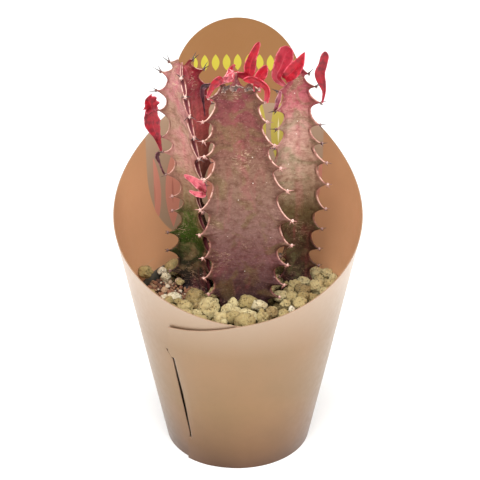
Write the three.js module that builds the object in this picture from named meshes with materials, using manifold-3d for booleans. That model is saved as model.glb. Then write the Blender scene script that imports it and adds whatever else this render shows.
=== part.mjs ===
// A potted three-stemmed red spurge (Euphorbia trigona) with its nursery pot and rolled card sleeve.
// Millimetres, +Z up. The origin is the centre of the pot's underside, on the surface that it stands on.
// The front is at -Y. An azimuth is in degrees from the front and grows towards +X.

import * as THREE from "three";
import { mergeVertices } from "three/addons/utils/BufferGeometryUtils.js";
import Module from "manifold-3d";

const wasm = await Module();
wasm.setup();

// ---------------------------------------------------------------- driving dimensions

const FIT_GAP = 0.3; // clearance between pieces that touch
const COARSE = 0.1; // how far merging a solid's small triangles may move its surface

const SLEEVE = {
  footRadius: 36.2, // inner radius at the foot
  taper: 0.199, // growth of the radius for each millimetre of height
  card: 0.6, // thickness of the card
  layerGap: 0.3, // air between two layers of it
  frontHeight: 96.1, // height of the rim at the front
  rimRise: 0.165, // rise of the rim for each degree from the front
  rimSweep: 0.00147, // and for each square degree of it
  flapDroop: 0.0011, // fall of the outer end's rim for each square degree
  innerEnd: 12, // azimuth where the inner end of the rolled sheet stops
  overlap: 48.6, // degrees of the front where the two ends lie on each other
  earWidth: 4.3, // degrees that the outer end reaches further above the tongue
  earShoulder: 0.8, // degrees that it reaches further at its top
  earLow: 71.8, // height of its lowest corner
  tabRadius: 33.4, // the round header tab at the back, as cut from the flat sheet
  tabCentre: 167.6, // its centre, up the slope of the card from the foot
  tongueLow: 15.7, // height of the tongue's lower edge
  tongueHigh: 68.8, // and of its upper edge
  tongueReach: 16, // degrees that the tongue runs on behind the slit
  slitWidth: 3.4, // degrees of the window that it dives through
};

const POT = {
  footRadius: 34,
  height: 77.3,
  lipHeight: 6.5,
  wall: 1.2,
  taper: 0.2067, // growth of the radius for each millimetre of height
  footBevel: 1.5,
  floor: 1.6,
  holeRadius: 3,
  holeCircle: 24,
  holes: 6,
};

const SOIL = { top: 69.2, shankDepth: 23 };
const TOPDRESSING = {
  floor: 69.6,
  bed: 73.6, // top of the bed that the pebbles stand in
  heapStart: 18, // from this radius outwards it is heaped up against the pot's wall
  heapRise: 3.4,
  radius: 46.5,
  mouth: 49.2,
};
const GRIT_PATCH = { x: -33.5, y: 11.5, long: 13.5, short: 9, turn: -35 };

const SPINE = { length: 4.6, sunk: 1.1, root: 0.62, spread: 34 };
const LEVEL = 2; // height between two rings of a stem's mesh, on which its teeth fall
const CROWN = { height: 10, dip: 4.5, tooth: 0.6 }; // the ribs' tops stand round a sunken growing point

// One leaning column each. Tables run up the stem as [height, value, ...], and azimuths are of rib 0.
// Each rib has its own row of tooth heights.
const STEMS = {
  stem_front: {
    axis: [
      [46, 3.6, 4.4], [92, 3.4, 4], [117, 4.2, 3], [147, 3.8, 2.2],
      [162, 1.6, 1.8], [180, -1.2, 1.4], [194, -0.6, 1],
    ],
    bay: [
      [46, 9.6], [70, 10.4], [78, 15.6], [92, 19.6], [104, 20.6], [118, 22.8], [131, 22.4],
      [147, 19.4], [160, 16.8], [170, 15.8], [180, 13.4], [190, 11.2], [194, 8], [199, 3.2],
    ],
    turn: [[46, 60], [190, 60]],
    top: 199,
    tooth: 4,
    teeth: [
      [82, 90, 102, 114, 128, 144, 156, 168, 180, 190, 196],
      [88, 102, 116, 132, 146, 160, 174, 186, 194],
      [84, 94, 106, 120, 134, 150, 162, 170, 180, 192, 198],
    ],
  },
  stem_left: {
    axis: [[46, -19.5, 18.6], [80, -20.6, 18.4], [135, -22.4, 18], [196, -26.4, 17]],
    bay: [
      [46, 7.4], [70, 8], [78, 9.6], [92, 11], [106, 10], [120, 6.8], [128, 6.8],
      [140, 9.8], [165, 11], [180, 11.6], [187, 10.8], [192, 9], [196, 7], [201, 2.8],
    ],
    turn: [[46, 40], [95, 38], [133, 27], [152, 21], [170, 13], [189, 5], [196, -2]],
    top: 201,
    tooth: 4,
    teeth: [
      [86, 98, 110, 122, 132, 142, 154, 166, 178, 188, 196],
      [80, 92, 104, 116, 128, 140, 152, 164, 174, 184, 194, 200],
      [84, 96, 106, 118, 126, 138, 150, 158, 172, 182, 192, 198],
    ],
  },
  stem_right: {
    axis: [[46, 28.6, 18.6], [80, 31, 20], [135, 30, 19.6], [193, 28.6, 19]],
    bay: [
      [46, 7.4], [70, 7.8], [78, 8.4], [92, 7.6], [111, 9.8], [124, 12], [138, 12.8], [149, 12],
      [160, 9.2], [170, 8.8], [180, 9.4], [186, 8], [190, 6], [197, 2.8],
    ],
    turn: [[46, 62], [190, 62]],
    top: 197,
    tooth: 4,
    teeth: [
      [88, 98, 110, 122, 136, 148, 158, 168, 180, 188, 194],
      [88, 100, 112, 124, 136, 148, 160, 172, 184, 192],
      [82, 94, 106, 120, 132, 144, 156, 166, 176, 186, 194],
    ],
  },
};

// Every leaf grows from a rib's crest: stem, rib and height. It runs through the places given, up to its
// tip. The face is the way that its upper side looks at the root, and turns by the twist up to the tip.
const LEAVES = {
  leaf_left_tall: {
    on: ["stem_left", 2, 150], through: [[-41.4, 18, 163], [-43.6, 16.6, 174], [-44.6, 15.4, 182]],
    width: 7.8, face: [0.2, -1, 0.2], twist: -25,
  },
  leaf_left_dried: {
    on: ["stem_left", 2, 138], through: [[-37.8, 17, 147], [-40.8, 16, 151.5], [-38.6, 16, 154.8]],
    width: 2.4, face: [0, -1, 0.2], twist: 90,
  },
  leaf_left_pink: {
    on: ["stem_left", 0, 132], through: [[-17.6, 1.4, 139], [-21, 0.2, 145.4], [-25.4, 1, 146.8]],
    width: 4.6, face: [-0.4, -1, 0.4], twist: 0,
  },
  leaf_left_withered: {
    on: ["stem_left", 1, 184], through: [[-12.6, 20.6, 184.6], [-14.4, 17.4, 181.4], [-14.2, 16, 176]],
    width: 3.4, face: [0.5, -1, 0.3], twist: 60,
  },
  leaf_left_back: {
    on: ["stem_left", 1, 174], through: [[-12.4, 30.4, 179], [-13.4, 32.8, 184], [-14.4, 33.6, 189]],
    width: 5, face: [0.2, 1, 0.4], twist: 20,
  },
  leaf_front_left: {
    on: ["stem_front", 2, 192], through: [[-11.8, -7, 198], [-8.2, -7.4, 201.8], [-3.6, -6.4, 202.8]],
    width: 4.8, face: [-0.3, -1, 0.5], twist: 0,
  },
  leaf_front_bud: {
    on: ["stem_front", 2, 198], through: [[-5, -3, 201.6], [-2.8, -2.6, 205]],
    width: 3, face: [0.2, -1, 0.2], twist: 60,
  },
  leaf_front_tall: {
    on: ["stem_front", 1, 194.6], through: [[4, 4.6, 199], [5.4, 4.8, 206], [11.2, 5.6, 216]],
    width: 7, face: [-0.1, -1, 0.2], twist: -15,
  },
  leaf_front_small: {
    on: ["stem_front", 0, 194.2], through: [[9.2, -3.4, 198.6], [11.6, -3.2, 203], [13.4, -3, 207.4]],
    width: 4.8, face: [-0.2, -1, 0.3], twist: 0,
  },
  leaf_front_arch: {
    on: ["stem_front", 0, 190],
    through: [[15.2, -8.6, 196.6], [12, -9.8, 202.6], [7.4, -9.6, 204.4], [3, -8.4, 202.8]],
    width: 4.4, face: [-0.6, -1, 0.3], twist: -30,
  },
  leaf_front_back: {
    on: ["stem_front", 1, 186], through: [[-1.4, 22.6, 188.4], [-2.4, 25.6, 191], [-1.2, 28.4, 193]],
    width: 5, face: [0, 1, 0.4], twist: 20,
  },
  leaf_right_broad: {
    on: ["stem_right", 2, 188], through: [[18, 12.6, 196], [20.6, 13.6, 203.4], [22.2, 14, 210]],
    width: 9.4, face: [-0.1, -1, 0.2], twist: 10,
  },
  leaf_right_pointed: {
    on: ["stem_right", 2, 191.4], through: [[23.6, 8.6, 195.6], [27.6, 5.6, 202], [31.8, 5, 209.4]],
    width: 7, face: [-0.5, -1, 0.2], twist: 0,
  },
  leaf_right_hanging: {
    on: ["stem_right", 2, 176], through: [[17.8, 7.4, 184.6], [20, 6.6, 188], [21.6, 7.6, 186]],
    width: 3.4, face: [-0.4, -1, 0], twist: 40,
  },
  leaf_right_twisted: {
    on: ["stem_right", 0, 180], through: [[42.8, 12, 187.6], [40.8, 11.4, 198], [42.4, 11, 208.6]],
    width: 5.2, face: [-1, -0.5, 0.1], twist: 75,
  },
  leaf_right_back: {
    on: ["stem_right", 1, 172], through: [[29.6, 37.6, 177], [29, 39.6, 183], [29.6, 40, 190]],
    width: 5.6, face: [0, 1, 0.3], twist: -20,
  },
};

const COLOURS = {
  card: 0xb98a66,
  pot: 0x2b2c2a,
  soil: 0x4a3526,
  pumice: 0xb7a576,
  grit: 0x8a6449,
  stem: 0x935f5b,
  leaf: 0xb71e35,
};

// ---------------------------------------------------------------- helpers

const radians = THREE.MathUtils.degToRad;
const lerp = THREE.MathUtils.lerp;
const smooth = (t) => THREE.MathUtils.smoothstep(t, 0, 1);

// The row of a table at a height, eased between its knots.
function along(table, height, column = 1) {
  const last = table.length - 1;
  if (height <= table[0][0]) return table[0][column];
  if (height >= table[last][0]) return table[last][column];
  const i = table.findIndex((row) => row[0] > height) - 1;
  const t = (height - table[i][0]) / (table[i + 1][0] - table[i][0]);
  return lerp(table[i][column], table[i + 1][column], lerp(t, smooth(t), 0.5));
}

// A repeatable stream of numbers from 0 to 1.
function randomStream(seed) {
  let state = seed;
  return () => {
    state = (state * 1664525 + 1013904223) % 4294967296;
    return state / 4294967296;
  };
}

// A three.js geometry with its loose vertices merged and each one moved by place(x, y, z).
function reshaped(geometry, place) {
  geometry.deleteAttribute("normal");
  geometry.deleteAttribute("uv");
  const merged = mergeVertices(geometry, 1e-4);
  const position = merged.attributes.position;
  for (let i = 0; i < position.count; i++) {
    const p = place(position.getX(i), position.getY(i), position.getZ(i));
    position.setXYZ(i, p.x, p.y, p.z);
  }
  return merged;
}

function solidOf(geometry) {
  const mesh = new wasm.Mesh({
    numProp: 3,
    vertProperties: new Float32Array(geometry.attributes.position.array),
    triVerts: new Uint32Array(geometry.index.array),
  });
  return new wasm.Manifold(mesh);
}

function shape(geometry, place) {
  return solidOf(reshaped(geometry, place));
}

// Flat faces that were cut up by a join only merge again once they count as one original solid.
function simplified(solid, tolerance) {
  return solid.asOriginal().simplify(tolerance);
}

// Of a solid that cutting left in pieces, the one that holds together; loose scraps are dropped.
function largest(solid) {
  return solid.decompose().reduce((a, b) => (a.volume() > b.volume() ? a : b));
}

function geometryOf(solid) {
  const mesh = solid.getMesh();
  const geometry = new THREE.BufferGeometry();
  geometry.setAttribute("position", new THREE.BufferAttribute(mesh.vertProperties, 3));
  geometry.setIndex(new THREE.BufferAttribute(mesh.triVerts, 1));
  geometry.computeVertexNormals();
  return geometry;
}

// A lathe's profile goes round the Z axis here, and starts and ends on it.
function turned(profile, segments) {
  const points = profile.map(([r, z]) => new THREE.Vector2(r, z));
  return shape(new THREE.LatheGeometry(points, segments), (x, y, z) => new THREE.Vector3(x, -z, y));
}

function upright(radius, low, high, x, y, sides) {
  return shape(
    new THREE.CylinderGeometry(radius, radius, high - low, sides),
    (a, b, c) => new THREE.Vector3(x + a, y - c, (low + high) / 2 + b),
  );
}

// ---------------------------------------------------------------- card sleeve

const coneSine = SLEEVE.taper / Math.hypot(1, SLEEVE.taper);
const coneCosine = 1 / Math.hypot(1, SLEEVE.taper);
const apexToFoot = SLEEVE.footRadius / coneSine; // up the slope, from the cone's own apex

// A point of the rolled card: lift is how far it lies outside the cone's inner face.
function onCard(azimuth, height, lift) {
  const radius = SLEEVE.footRadius + SLEEVE.taper * height + lift;
  return new THREE.Vector3(
    radius * Math.sin(radians(azimuth)),
    -radius * Math.cos(radians(azimuth)),
    height,
  );
}

const layerPitch = SLEEVE.card + SLEEVE.layerGap;
const sheetEnd = SLEEVE.innerEnd - 360 - SLEEVE.overlap;
// The sheet is one spiral, so that its outer end lies clear outside its inner end.
const spiralLift = (azimuth) => (layerPitch * (SLEEVE.innerEnd - azimuth)) / 360;

// Height of the cut rim at an azimuth of the unrolled sheet, 0 down to -360 being once round.
function rimHeight(azimuth) {
  const fromFront = azimuth > -180 ? -azimuth : azimuth + 360;
  const bend = fromFront > 0 ? SLEEVE.rimSweep : -SLEEVE.flapDroop;
  return SLEEVE.frontHeight + SLEEVE.rimRise * fromFront + bend * fromFront ** 2;
}

// The columns of the sheet: [azimuth, rim height], with the round tab's arc at the back.
function sheetColumns() {
  const columns = [];
  const tabDistance = apexToFoot + SLEEVE.tabCentre;
  const tabEdge = Math.atan2(SLEEVE.tabRadius, tabDistance) / coneSine / radians(1);
  const run = (from, to, count) => {
    for (let i = 0; i <= count; i++) {
      const azimuth = lerp(from, to, i / count);
      columns.push([azimuth, rimHeight(azimuth)]);
    }
  };
  run(SLEEVE.innerEnd, -180 + tabEdge + 0.05, 32);
  const arcSteps = 16;
  for (let i = 0; i <= arcSteps; i++) {
    const turn = lerp(-90, 90, i / arcSteps);
    const across = SLEEVE.tabRadius * Math.sin(radians(turn));
    const up = tabDistance + SLEEVE.tabRadius * Math.cos(radians(turn));
    const azimuth = -180 - Math.atan2(across, up) / coneSine / radians(1);
    columns.push([azimuth, (Math.hypot(across, up) - apexToFoot) * coneCosine]);
  }
  run(-180 - tabEdge - 0.05, sheetEnd, 40);
  return columns;
}

// A curved slab of card, given as columns of [azimuth, top, foot] along it.
function cardSlab(columns, liftAt, thickness = SLEEVE.card) {
  const last = columns.length - 1;
  const box = new THREE.BoxGeometry(last, 1, 1, last, 1, 1);
  return shape(box, (x, y, z) => {
    const [azimuth, top, foot = 0] = columns[Math.round(x + last / 2)];
    return onCard(azimuth, y < 0 ? foot : top, liftAt(azimuth) + (z < 0 ? thickness : 0));
  });
}

// Columns with an even step from one azimuth to another, each with the top and foot that are given.
function evenColumns(from, to, steps, topAt, footAt = () => 0) {
  return Array.from({ length: steps + 1 }, (_, i) => {
    const azimuth = lerp(from, to, i / steps);
    return [azimuth, topAt(i / steps, azimuth), footAt(i / steps)];
  });
}

// The outer end lies over the inner one. Its tongue dives through a slit and lies inside the wall.
function makeSleeve() {
  const { tongueLow, tongueHigh, slitWidth, tongueReach, earWidth, earShoulder, earLow } = SLEEVE;
  const joint = 0.6; // degrees that the pieces of one sheet run into each other
  const slitPlay = 0.4; // the window stands this much above and below the tongue
  const flapEdge = sheetEnd + 360;
  const outside = spiralLift(sheetEnd);
  const inside = spiralLift(flapEdge) - layerPitch + 0.05;
  const sheet = cardSlab(sheetColumns(), spiralLift);

  const shoulder = flapEdge - earShoulder;
  const earBase = flapEdge + joint;
  const earTip = earLow + 0.5; // its lowest corner is this blunt
  const earTop = (_, azimuth) => {
    const past = Math.max(0, (shoulder - azimuth) / (earWidth - earShoulder));
    return lerp(rimHeight(Math.max(azimuth, shoulder) - 360), earTip, past);
  };
  const earFoot = (t) => lerp(tongueHigh, earLow, t);
  const earColumns = evenColumns(earBase, flapEdge - earWidth, 5, earTop, earFoot);
  const ear = cardSlab(earColumns, () => outside);

  const slitStart = flapEdge + slitWidth - joint;
  const slitTop = () => tongueHigh + slitPlay;
  const slitFoot = () => tongueLow - slitPlay;
  const slitColumns = evenColumns(slitStart, slitStart - slitWidth, 3, slitTop, slitFoot);
  const slit = cardSlab(slitColumns, () => -0.5, 3);

  const tongueTop = (t) => tongueHigh - 6 * t ** 3;
  const tongueEnd = slitStart - tongueReach;
  const tongueColumns = evenColumns(slitStart + joint, tongueEnd, 20, tongueTop, () => tongueLow);
  const dive = (azimuth) => smooth((slitStart - azimuth) / slitWidth);
  const tongue = cardSlab(tongueColumns, (azimuth) => lerp(outside, inside, dive(azimuth)));
  return wasm.Manifold.union([sheet.subtract(slit), ear, tongue]);
}

// ---------------------------------------------------------------- pot and what fills it

const potRadius = (z) => POT.footRadius + POT.taper * (z - POT.footBevel);

// The pot tapers to its foot, and its lip leans against the sleeve all round.
function makePot() {
  const round = 0.5; // on the lip's edges
  const lipLow = POT.height - POT.lipHeight;
  const lipRadius = (z) => SLEEVE.footRadius + SLEEVE.taper * z - FIT_GAP - 0.1;
  const body = turned(
    [
      [0, 0],
      [POT.footRadius - POT.footBevel, 0],
      [POT.footRadius, POT.footBevel],
      [potRadius(lipLow - round), lipLow - round],
      [lipRadius(lipLow), lipLow],
      [lipRadius(POT.height - round), POT.height - round],
      [lipRadius(POT.height) - round, POT.height],
      [lipRadius(POT.height) - POT.wall, POT.height - round],
      [potRadius(lipLow) - round, lipLow + round],
      [potRadius(lipLow - round) - POT.wall, lipLow - round],
      [potRadius(POT.floor) - POT.wall, POT.floor],
      [0, POT.floor],
    ],
    40,
  );
  const drains = [];
  for (let i = 0; i < POT.holes; i++) {
    const angle = radians((360 / POT.holes) * (i + 0.5));
    const [x, y] = [POT.holeCircle * Math.cos(angle), POT.holeCircle * Math.sin(angle)];
    drains.push(upright(POT.holeRadius, -1, POT.floor + 1, x, y, 10));
  }
  return body.subtract(wasm.Manifold.union(drains));
}

// The stems' shanks stand in plain holes in the soil.
function makeSoil(stemsGrown) {
  const inner = (z) => potRadius(z) - POT.wall - FIT_GAP;
  const low = POT.floor + FIT_GAP;
  const bulk = turned([[0, low], [inner(low), low], [inner(SOIL.top), SOIL.top], [0, SOIL.top]], 36);
  return bulk.subtract(stemsGrown);
}

function gritEllipse(grow, low, high) {
  const long = GRIT_PATCH.long + grow;
  const short = GRIT_PATCH.short + grow;
  const turn = radians(GRIT_PATCH.turn);
  return shape(new THREE.CylinderGeometry(1, 1, high - low, 22), (a, b, c) => {
    const [x, y] = [a * long, -c * short];
    return new THREE.Vector3(
      GRIT_PATCH.x + x * Math.cos(turn) - y * Math.sin(turn),
      GRIT_PATCH.y + x * Math.sin(turn) + y * Math.cos(turn),
      (low + high) / 2 + b,
    );
  });
}

// One rough pebble: a faceted ball, knocked out of round and turned.
function pebble(x, y, z, size, random) {
  const between = (low, high) => lerp(low, high, random());
  const stretch = new THREE.Vector3(between(0.85, 1.2), between(0.85, 1.15), between(0.7, 0.95));
  const turn = new THREE.Euler(between(0, 6), between(0, 6), between(0, 6));
  const knocks = [between(0, 6), between(0, 6), between(0, 6)];
  return shape(new THREE.IcosahedronGeometry(size, 0), (a, b, c) => {
    const waves = [1.7 * a + knocks[0], 1.9 * b + knocks[1], 2.1 * c + knocks[2]];
    const dent = waves.reduce((sum, wave) => sum + Math.sin(wave), 0);
    const p = new THREE.Vector3(a, b, c).multiplyScalar(1 + 0.05 * dent);
    return p.applyEuler(turn).multiply(stretch).add(new THREE.Vector3(x, y, z));
  });
}

// Seeded spots on the disc of the pot's mouth, none closer to another than their sizes allow.
function scatter(count, seed, sizeAt, allowed) {
  const random = randomStream(seed);
  const spots = [];
  for (let tries = 0; tries < 6000 && spots.length < count; tries++) {
    const radius = Math.sqrt(random()) * (TOPDRESSING.radius - 1);
    const angle = random() * 2 * Math.PI;
    const [x, y] = [radius * Math.cos(angle), radius * Math.sin(angle)];
    const size = sizeAt(random());
    const clear = spots.every((s) => Math.hypot(s.x - x, s.y - y) > 0.8 * (s.size + size));
    if (clear && radius + size < TOPDRESSING.mouth && allowed(x, y, size)) spots.push({ x, y, size });
  }
  return { spots, random };
}

function inGrit(x, y, grow) {
  const turn = radians(-GRIT_PATCH.turn);
  const [dx, dy] = [x - GRIT_PATCH.x, y - GRIT_PATCH.y];
  const u = (dx * Math.cos(turn) - dy * Math.sin(turn)) / (GRIT_PATCH.long + grow);
  const v = (dx * Math.sin(turn) + dy * Math.cos(turn)) / (GRIT_PATCH.short + grow);
  return u * u + v * v < 1;
}

// The room inside the pot's lip, from the soil up.
function potMouth() {
  const { floor, radius, mouth } = TOPDRESSING;
  const top = 95; // above the highest pebble
  return turned(
    [[0, floor], [radius, floor], [radius + 0.7, floor + 2.4], [mouth, POT.height], [mouth, top], [0, top]],
    32,
  );
}

// The bed and its pebbles are cut back round the stems and round the patch of grit.
function makePumice(stemsGrown) {
  const { floor, bed, heapStart, heapRise, radius } = TOPDRESSING;
  const profile = [[0, floor], [radius, floor], [radius, bed + heapRise], [heapStart, bed], [0, bed]];
  const stoneSize = (share) => lerp(3.6, 6.2, share);
  const besideGrit = (x, y, size) => !inGrit(x, y, size * 0.6);
  const { spots, random } = scatter(54, 7, stoneSize, besideGrit);
  const pebbles = spots.map(({ x, y, size }) => {
    const slope = Math.max(0, (Math.hypot(x, y) - heapStart) / (radius - heapStart));
    return pebble(x, y, bed + heapRise * slope + 0.4 * size, size, random);
  });
  const cut = wasm.Manifold.union([stemsGrown, gritEllipse(FIT_GAP + 0.1, 60, 90)]);
  const heap = wasm.Manifold.union([turned(profile, 32), ...pebbles]).intersect(potMouth());
  return largest(simplified(heap, 3 * COARSE).subtract(cut));
}

function makeGrit(stemsGrown) {
  const bed = gritEllipse(0, TOPDRESSING.floor, TOPDRESSING.bed + 0.6);
  const crumbSize = (share) => lerp(1.6, 2.8, share);
  const { spots, random } = scatter(18, 21, crumbSize, (x, y, size) => inGrit(x, y, -size));
  const crumbs = spots.map(({ x, y, size }) => pebble(x, y, TOPDRESSING.bed + 0.8, size, random));
  const heap = wasm.Manifold.union([bed, ...crumbs]).intersect(potMouth());
  return largest(simplified(heap, 3 * COARSE).subtract(stemsGrown));
}

// ---------------------------------------------------------------- stems

const RIBS = 3;
const TOOTH_STEP = 12; // spacing that is taken below the first tooth and above the last one

// How far a rib stands out: 1 at a tooth's tip and 0 in the round bay between two of them.
function scallop(teeth, z) {
  const next = teeth.findIndex((height) => height > z);
  const above = next < 0 ? teeth.at(-1) + TOOTH_STEP : teeth[next];
  const below = next < 0 ? teeth.at(-1) : (teeth[next - 1] ?? above - TOOTH_STEP);
  const t = (z - below) / (above - below);
  return (2 * t - 1) ** 2;
}

// 0 below the crown, 1 at the stem's top.
const crown = (spec, z) => THREE.MathUtils.clamp((z - spec.top) / CROWN.height + 1, 0, 1);

// How far a point of the crown sinks: the growing point lies lower than the ribs' tips.
const crownDip = (spec, z, share) => CROWN.dip * crown(spec, z) ** 2 * Math.max(0, 1 - share);

// Teeth fade out where the stem goes into the ground.
const aboveGround = (z) => smooth((z - 72) / 8);

function ribReach(spec, rib, z, clearance) {
  const bay = along(spec.bay, z);
  const tooth = spec.tooth * aboveGround(z) * lerp(1, CROWN.tooth, crown(spec, z));
  return { bay: bay + clearance, tip: bay + clearance + tooth * scallop(spec.teeth[rib], z) };
}

// Half of a rib's section, from its crest to the middle of the next face, in shares of the bay radius:
// [outwards, sideways]. Below ground the section eases into a round shank.
const RIB_SECTION = [[0.9, 0.065], [0.5, 0.225], [0.216, 0.374]];
const SHANK_SECTION = [[0.94, 0.34], [0.77, 0.64], [0.5, 0.866]];
const ROUND_RIB = 2 * RIB_SECTION.length;

function sectionPoint(spec, index, z, clearance) {
  const rib = Math.floor((index + RIB_SECTION.length - 1) / ROUND_RIB);
  const step = index - rib * ROUND_RIB;
  const { bay, tip } = ribReach(spec, rib % RIBS, z, clearance);
  const ribbed = smooth((z - SOIL.top) / 7);
  let outwards = tip;
  let sideways = 0;
  if (step !== 0) {
    const row = Math.abs(step) - 1;
    const side = Math.sign(step);
    const crest = row === 0 ? tip - bay : 0;
    outwards = bay * lerp(SHANK_SECTION[row][0], RIB_SECTION[row][0], ribbed) + crest * ribbed;
    sideways = side * bay * lerp(SHANK_SECTION[row][1], RIB_SECTION[row][1], ribbed);
  }
  const azimuth = radians(along(spec.turn, z) + 120 * rib);
  return {
    x: along(spec.axis, z) + outwards * Math.sin(azimuth) + sideways * Math.cos(azimuth),
    y: along(spec.axis, z, 2) - outwards * Math.cos(azimuth) + sideways * Math.sin(azimuth),
    z: z - crownDip(spec, z, Math.hypot(outwards, sideways) / tip),
  };
}

function stemLevels(spec, clearance) {
  const levels = [SOIL.top - SOIL.shankDepth - clearance, SOIL.top];
  for (let z = SOIL.top + 0.8; z < spec.top; z += LEVEL) levels.push(z);
  return [...levels, spec.top + clearance];
}

function stemBody(spec, clearance = 0) {
  const levels = stemLevels(spec, clearance);
  const rows = levels.length - 1;
  const around = RIBS * ROUND_RIB;
  const tube = new THREE.CylinderGeometry(1, 1, rows, around, rows);
  return shape(tube, (x, y, z) => {
    const level = levels[Math.round(y + rows / 2)];
    if (Math.hypot(x, z) < 0.5) {
      const middle = level - crownDip(spec, level, 0);
      return new THREE.Vector3(along(spec.axis, level), along(spec.axis, level, 2), middle);
    }
    const index = (Math.round((Math.atan2(x, z) / (2 * Math.PI)) * around) + around) % around;
    const p = sectionPoint(spec, index, level, clearance);
    return new THREE.Vector3(p.x, p.y, p.z);
  });
}

// The tip of a tooth and the way that it points.
function toothTip(spec, rib, z) {
  const azimuth = radians(along(spec.turn, z) + 120 * rib);
  const outwards = new THREE.Vector3(Math.sin(azimuth), -Math.cos(azimuth), 0);
  const { tip } = ribReach(spec, rib, z, 0);
  const point = new THREE.Vector3(along(spec.axis, z), along(spec.axis, z, 2), z);
  return { point: point.addScaledVector(outwards, tip), outwards };
}

// Two spines stand on every tooth, with their roots sunk in it. They turn upwards near the stem's top.
function spinePair(spec, rib, z, clearance) {
  const { point, outwards } = toothTip(spec, rib, z);
  const up = new THREE.Vector3(0, 0, 1);
  const lift = lerp(-0.15, 0.8, smooth((z - spec.top + 22) / 20));
  return [-1, 1].map((side) => {
    const aim = outwards.clone().applyAxisAngle(up, radians(side * SPINE.spread)).addScaledVector(up, lift);
    const turn = new THREE.Quaternion().setFromUnitVectors(up, aim.normalize());
    const root = point.clone().addScaledVector(outwards, -SPINE.sunk);
    const long = SPINE.length + SPINE.sunk + clearance;
    const cone = new THREE.ConeGeometry(SPINE.root + clearance, long, 3);
    return shape(cone, (x, y, c) => {
      const p = new THREE.Vector3(x, -c, y + long / 2);
      return p.applyQuaternion(turn).add(root);
    });
  });
}

function makeStem(spec, clearance = 0) {
  const bare = POT.height + 7; // below this the pot's lip is too near for spines
  const spines = spec.teeth.flatMap((row, rib) => {
    return row.filter((z) => z > bare).flatMap((z) => spinePair(spec, rib, z, clearance));
  });
  const body = stemBody(spec, clearance).simplify(COARSE);
  return largest(simplified(wasm.Manifold.union([body, ...spines]), COARSE));
}

// ---------------------------------------------------------------- leaves

// Share of the greatest width along a leaf: a stalk, then a spoon that is widest past its middle.
function leafWidth(t) {
  const stalk = lerp(0.24, 1, smooth((t - 0.1) / 0.5));
  const point = Math.max(0, (t - 0.6) / 0.4);
  return stalk * Math.sqrt(Math.max(0.04, 1 - point ** 2.6));
}

// The blade is trimmed clear of the stems that it grows from and passes.
function makeLeaf(leaf, stemsGrown) {
  const [stemName, rib, height] = leaf.on;
  const { point, outwards } = toothTip(STEMS[stemName], rib, height);
  const root = point.clone().addScaledVector(outwards, 0.3).add(new THREE.Vector3(0, 0, 0.3));
  const line = new THREE.CatmullRomCurve3([root, ...leaf.through.map((p) => new THREE.Vector3(...p))]);
  const face = new THREE.Vector3(...leaf.face).normalize();
  const [across, lengthwise, thickness, cup] = [2, 7, 0.8, 0.16];
  const slab = new THREE.BoxGeometry(1, 1, 1, across, 1, lengthwise);
  const blade = shape(slab, (x, y, z) => {
    const t = z + 0.5;
    const forward = line.getTangent(t);
    const side = new THREE.Vector3().crossVectors(face, forward).normalize();
    side.applyAxisAngle(forward, radians(leaf.twist * t));
    const normal = new THREE.Vector3().crossVectors(forward, side).normalize();
    const width = leaf.width * leafWidth(t);
    const fold = cup * width * (2 * x) ** 2;
    return line.getPoint(t).addScaledVector(side, x * width).addScaledVector(normal, y * thickness + fold);
  });
  return largest(blade.subtract(stemsGrown));
}

// ---------------------------------------------------------------- the object

const FINISH = {
  card: { color: COLOURS.card, roughness: 0.45, metalness: 0.25 },
  pot: { color: COLOURS.pot, roughness: 0.6, metalness: 0 },
  soil: { color: COLOURS.soil, roughness: 1, metalness: 0 },
  pumice: { color: COLOURS.pumice, roughness: 0.95, metalness: 0 },
  grit: { color: COLOURS.grit, roughness: 0.95, metalness: 0 },
  stem: { color: COLOURS.stem, roughness: 0.5, metalness: 0 },
  leaf: { color: COLOURS.leaf, roughness: 0.45, metalness: 0 },
};

function piece(name, solid, finish) {
  const mesh = new THREE.Mesh(geometryOf(solid), new THREE.MeshStandardMaterial(FINISH[finish]));
  mesh.name = name;
  return mesh;
}

const plant = new THREE.Group();
const stemsGrown = wasm.Manifold.union(Object.values(STEMS).map((spec) => makeStem(spec, FIT_GAP)));

plant.add(piece("card_sleeve", makeSleeve(), "card"));
plant.add(piece("nursery_pot", makePot(), "pot"));
plant.add(piece("soil", makeSoil(stemsGrown), "soil"));
plant.add(piece("pumice_topdressing", makePumice(stemsGrown), "pumice"));
plant.add(piece("brown_grit", makeGrit(stemsGrown), "grit"));
for (const [name, spec] of Object.entries(STEMS)) {
  plant.add(piece(name, makeStem(spec), "stem"));
}
for (const [name, leaf] of Object.entries(LEAVES)) {
  plant.add(piece(name, makeLeaf(leaf, stemsGrown), "leaf"));
}

export default plant;
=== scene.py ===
# A potted three-stemmed red spurge (Euphorbia trigona) in a nursery pot and a rolled card sleeve.
# Tables and sizes are in millimetres and degrees, meshes in metres. The front is at -Y. An azimuth
# is counted from the front and grows towards +X.

import math
import random

import bmesh
import bpy
from mathutils import Euler, Matrix, Quaternion, Vector, noise


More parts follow.
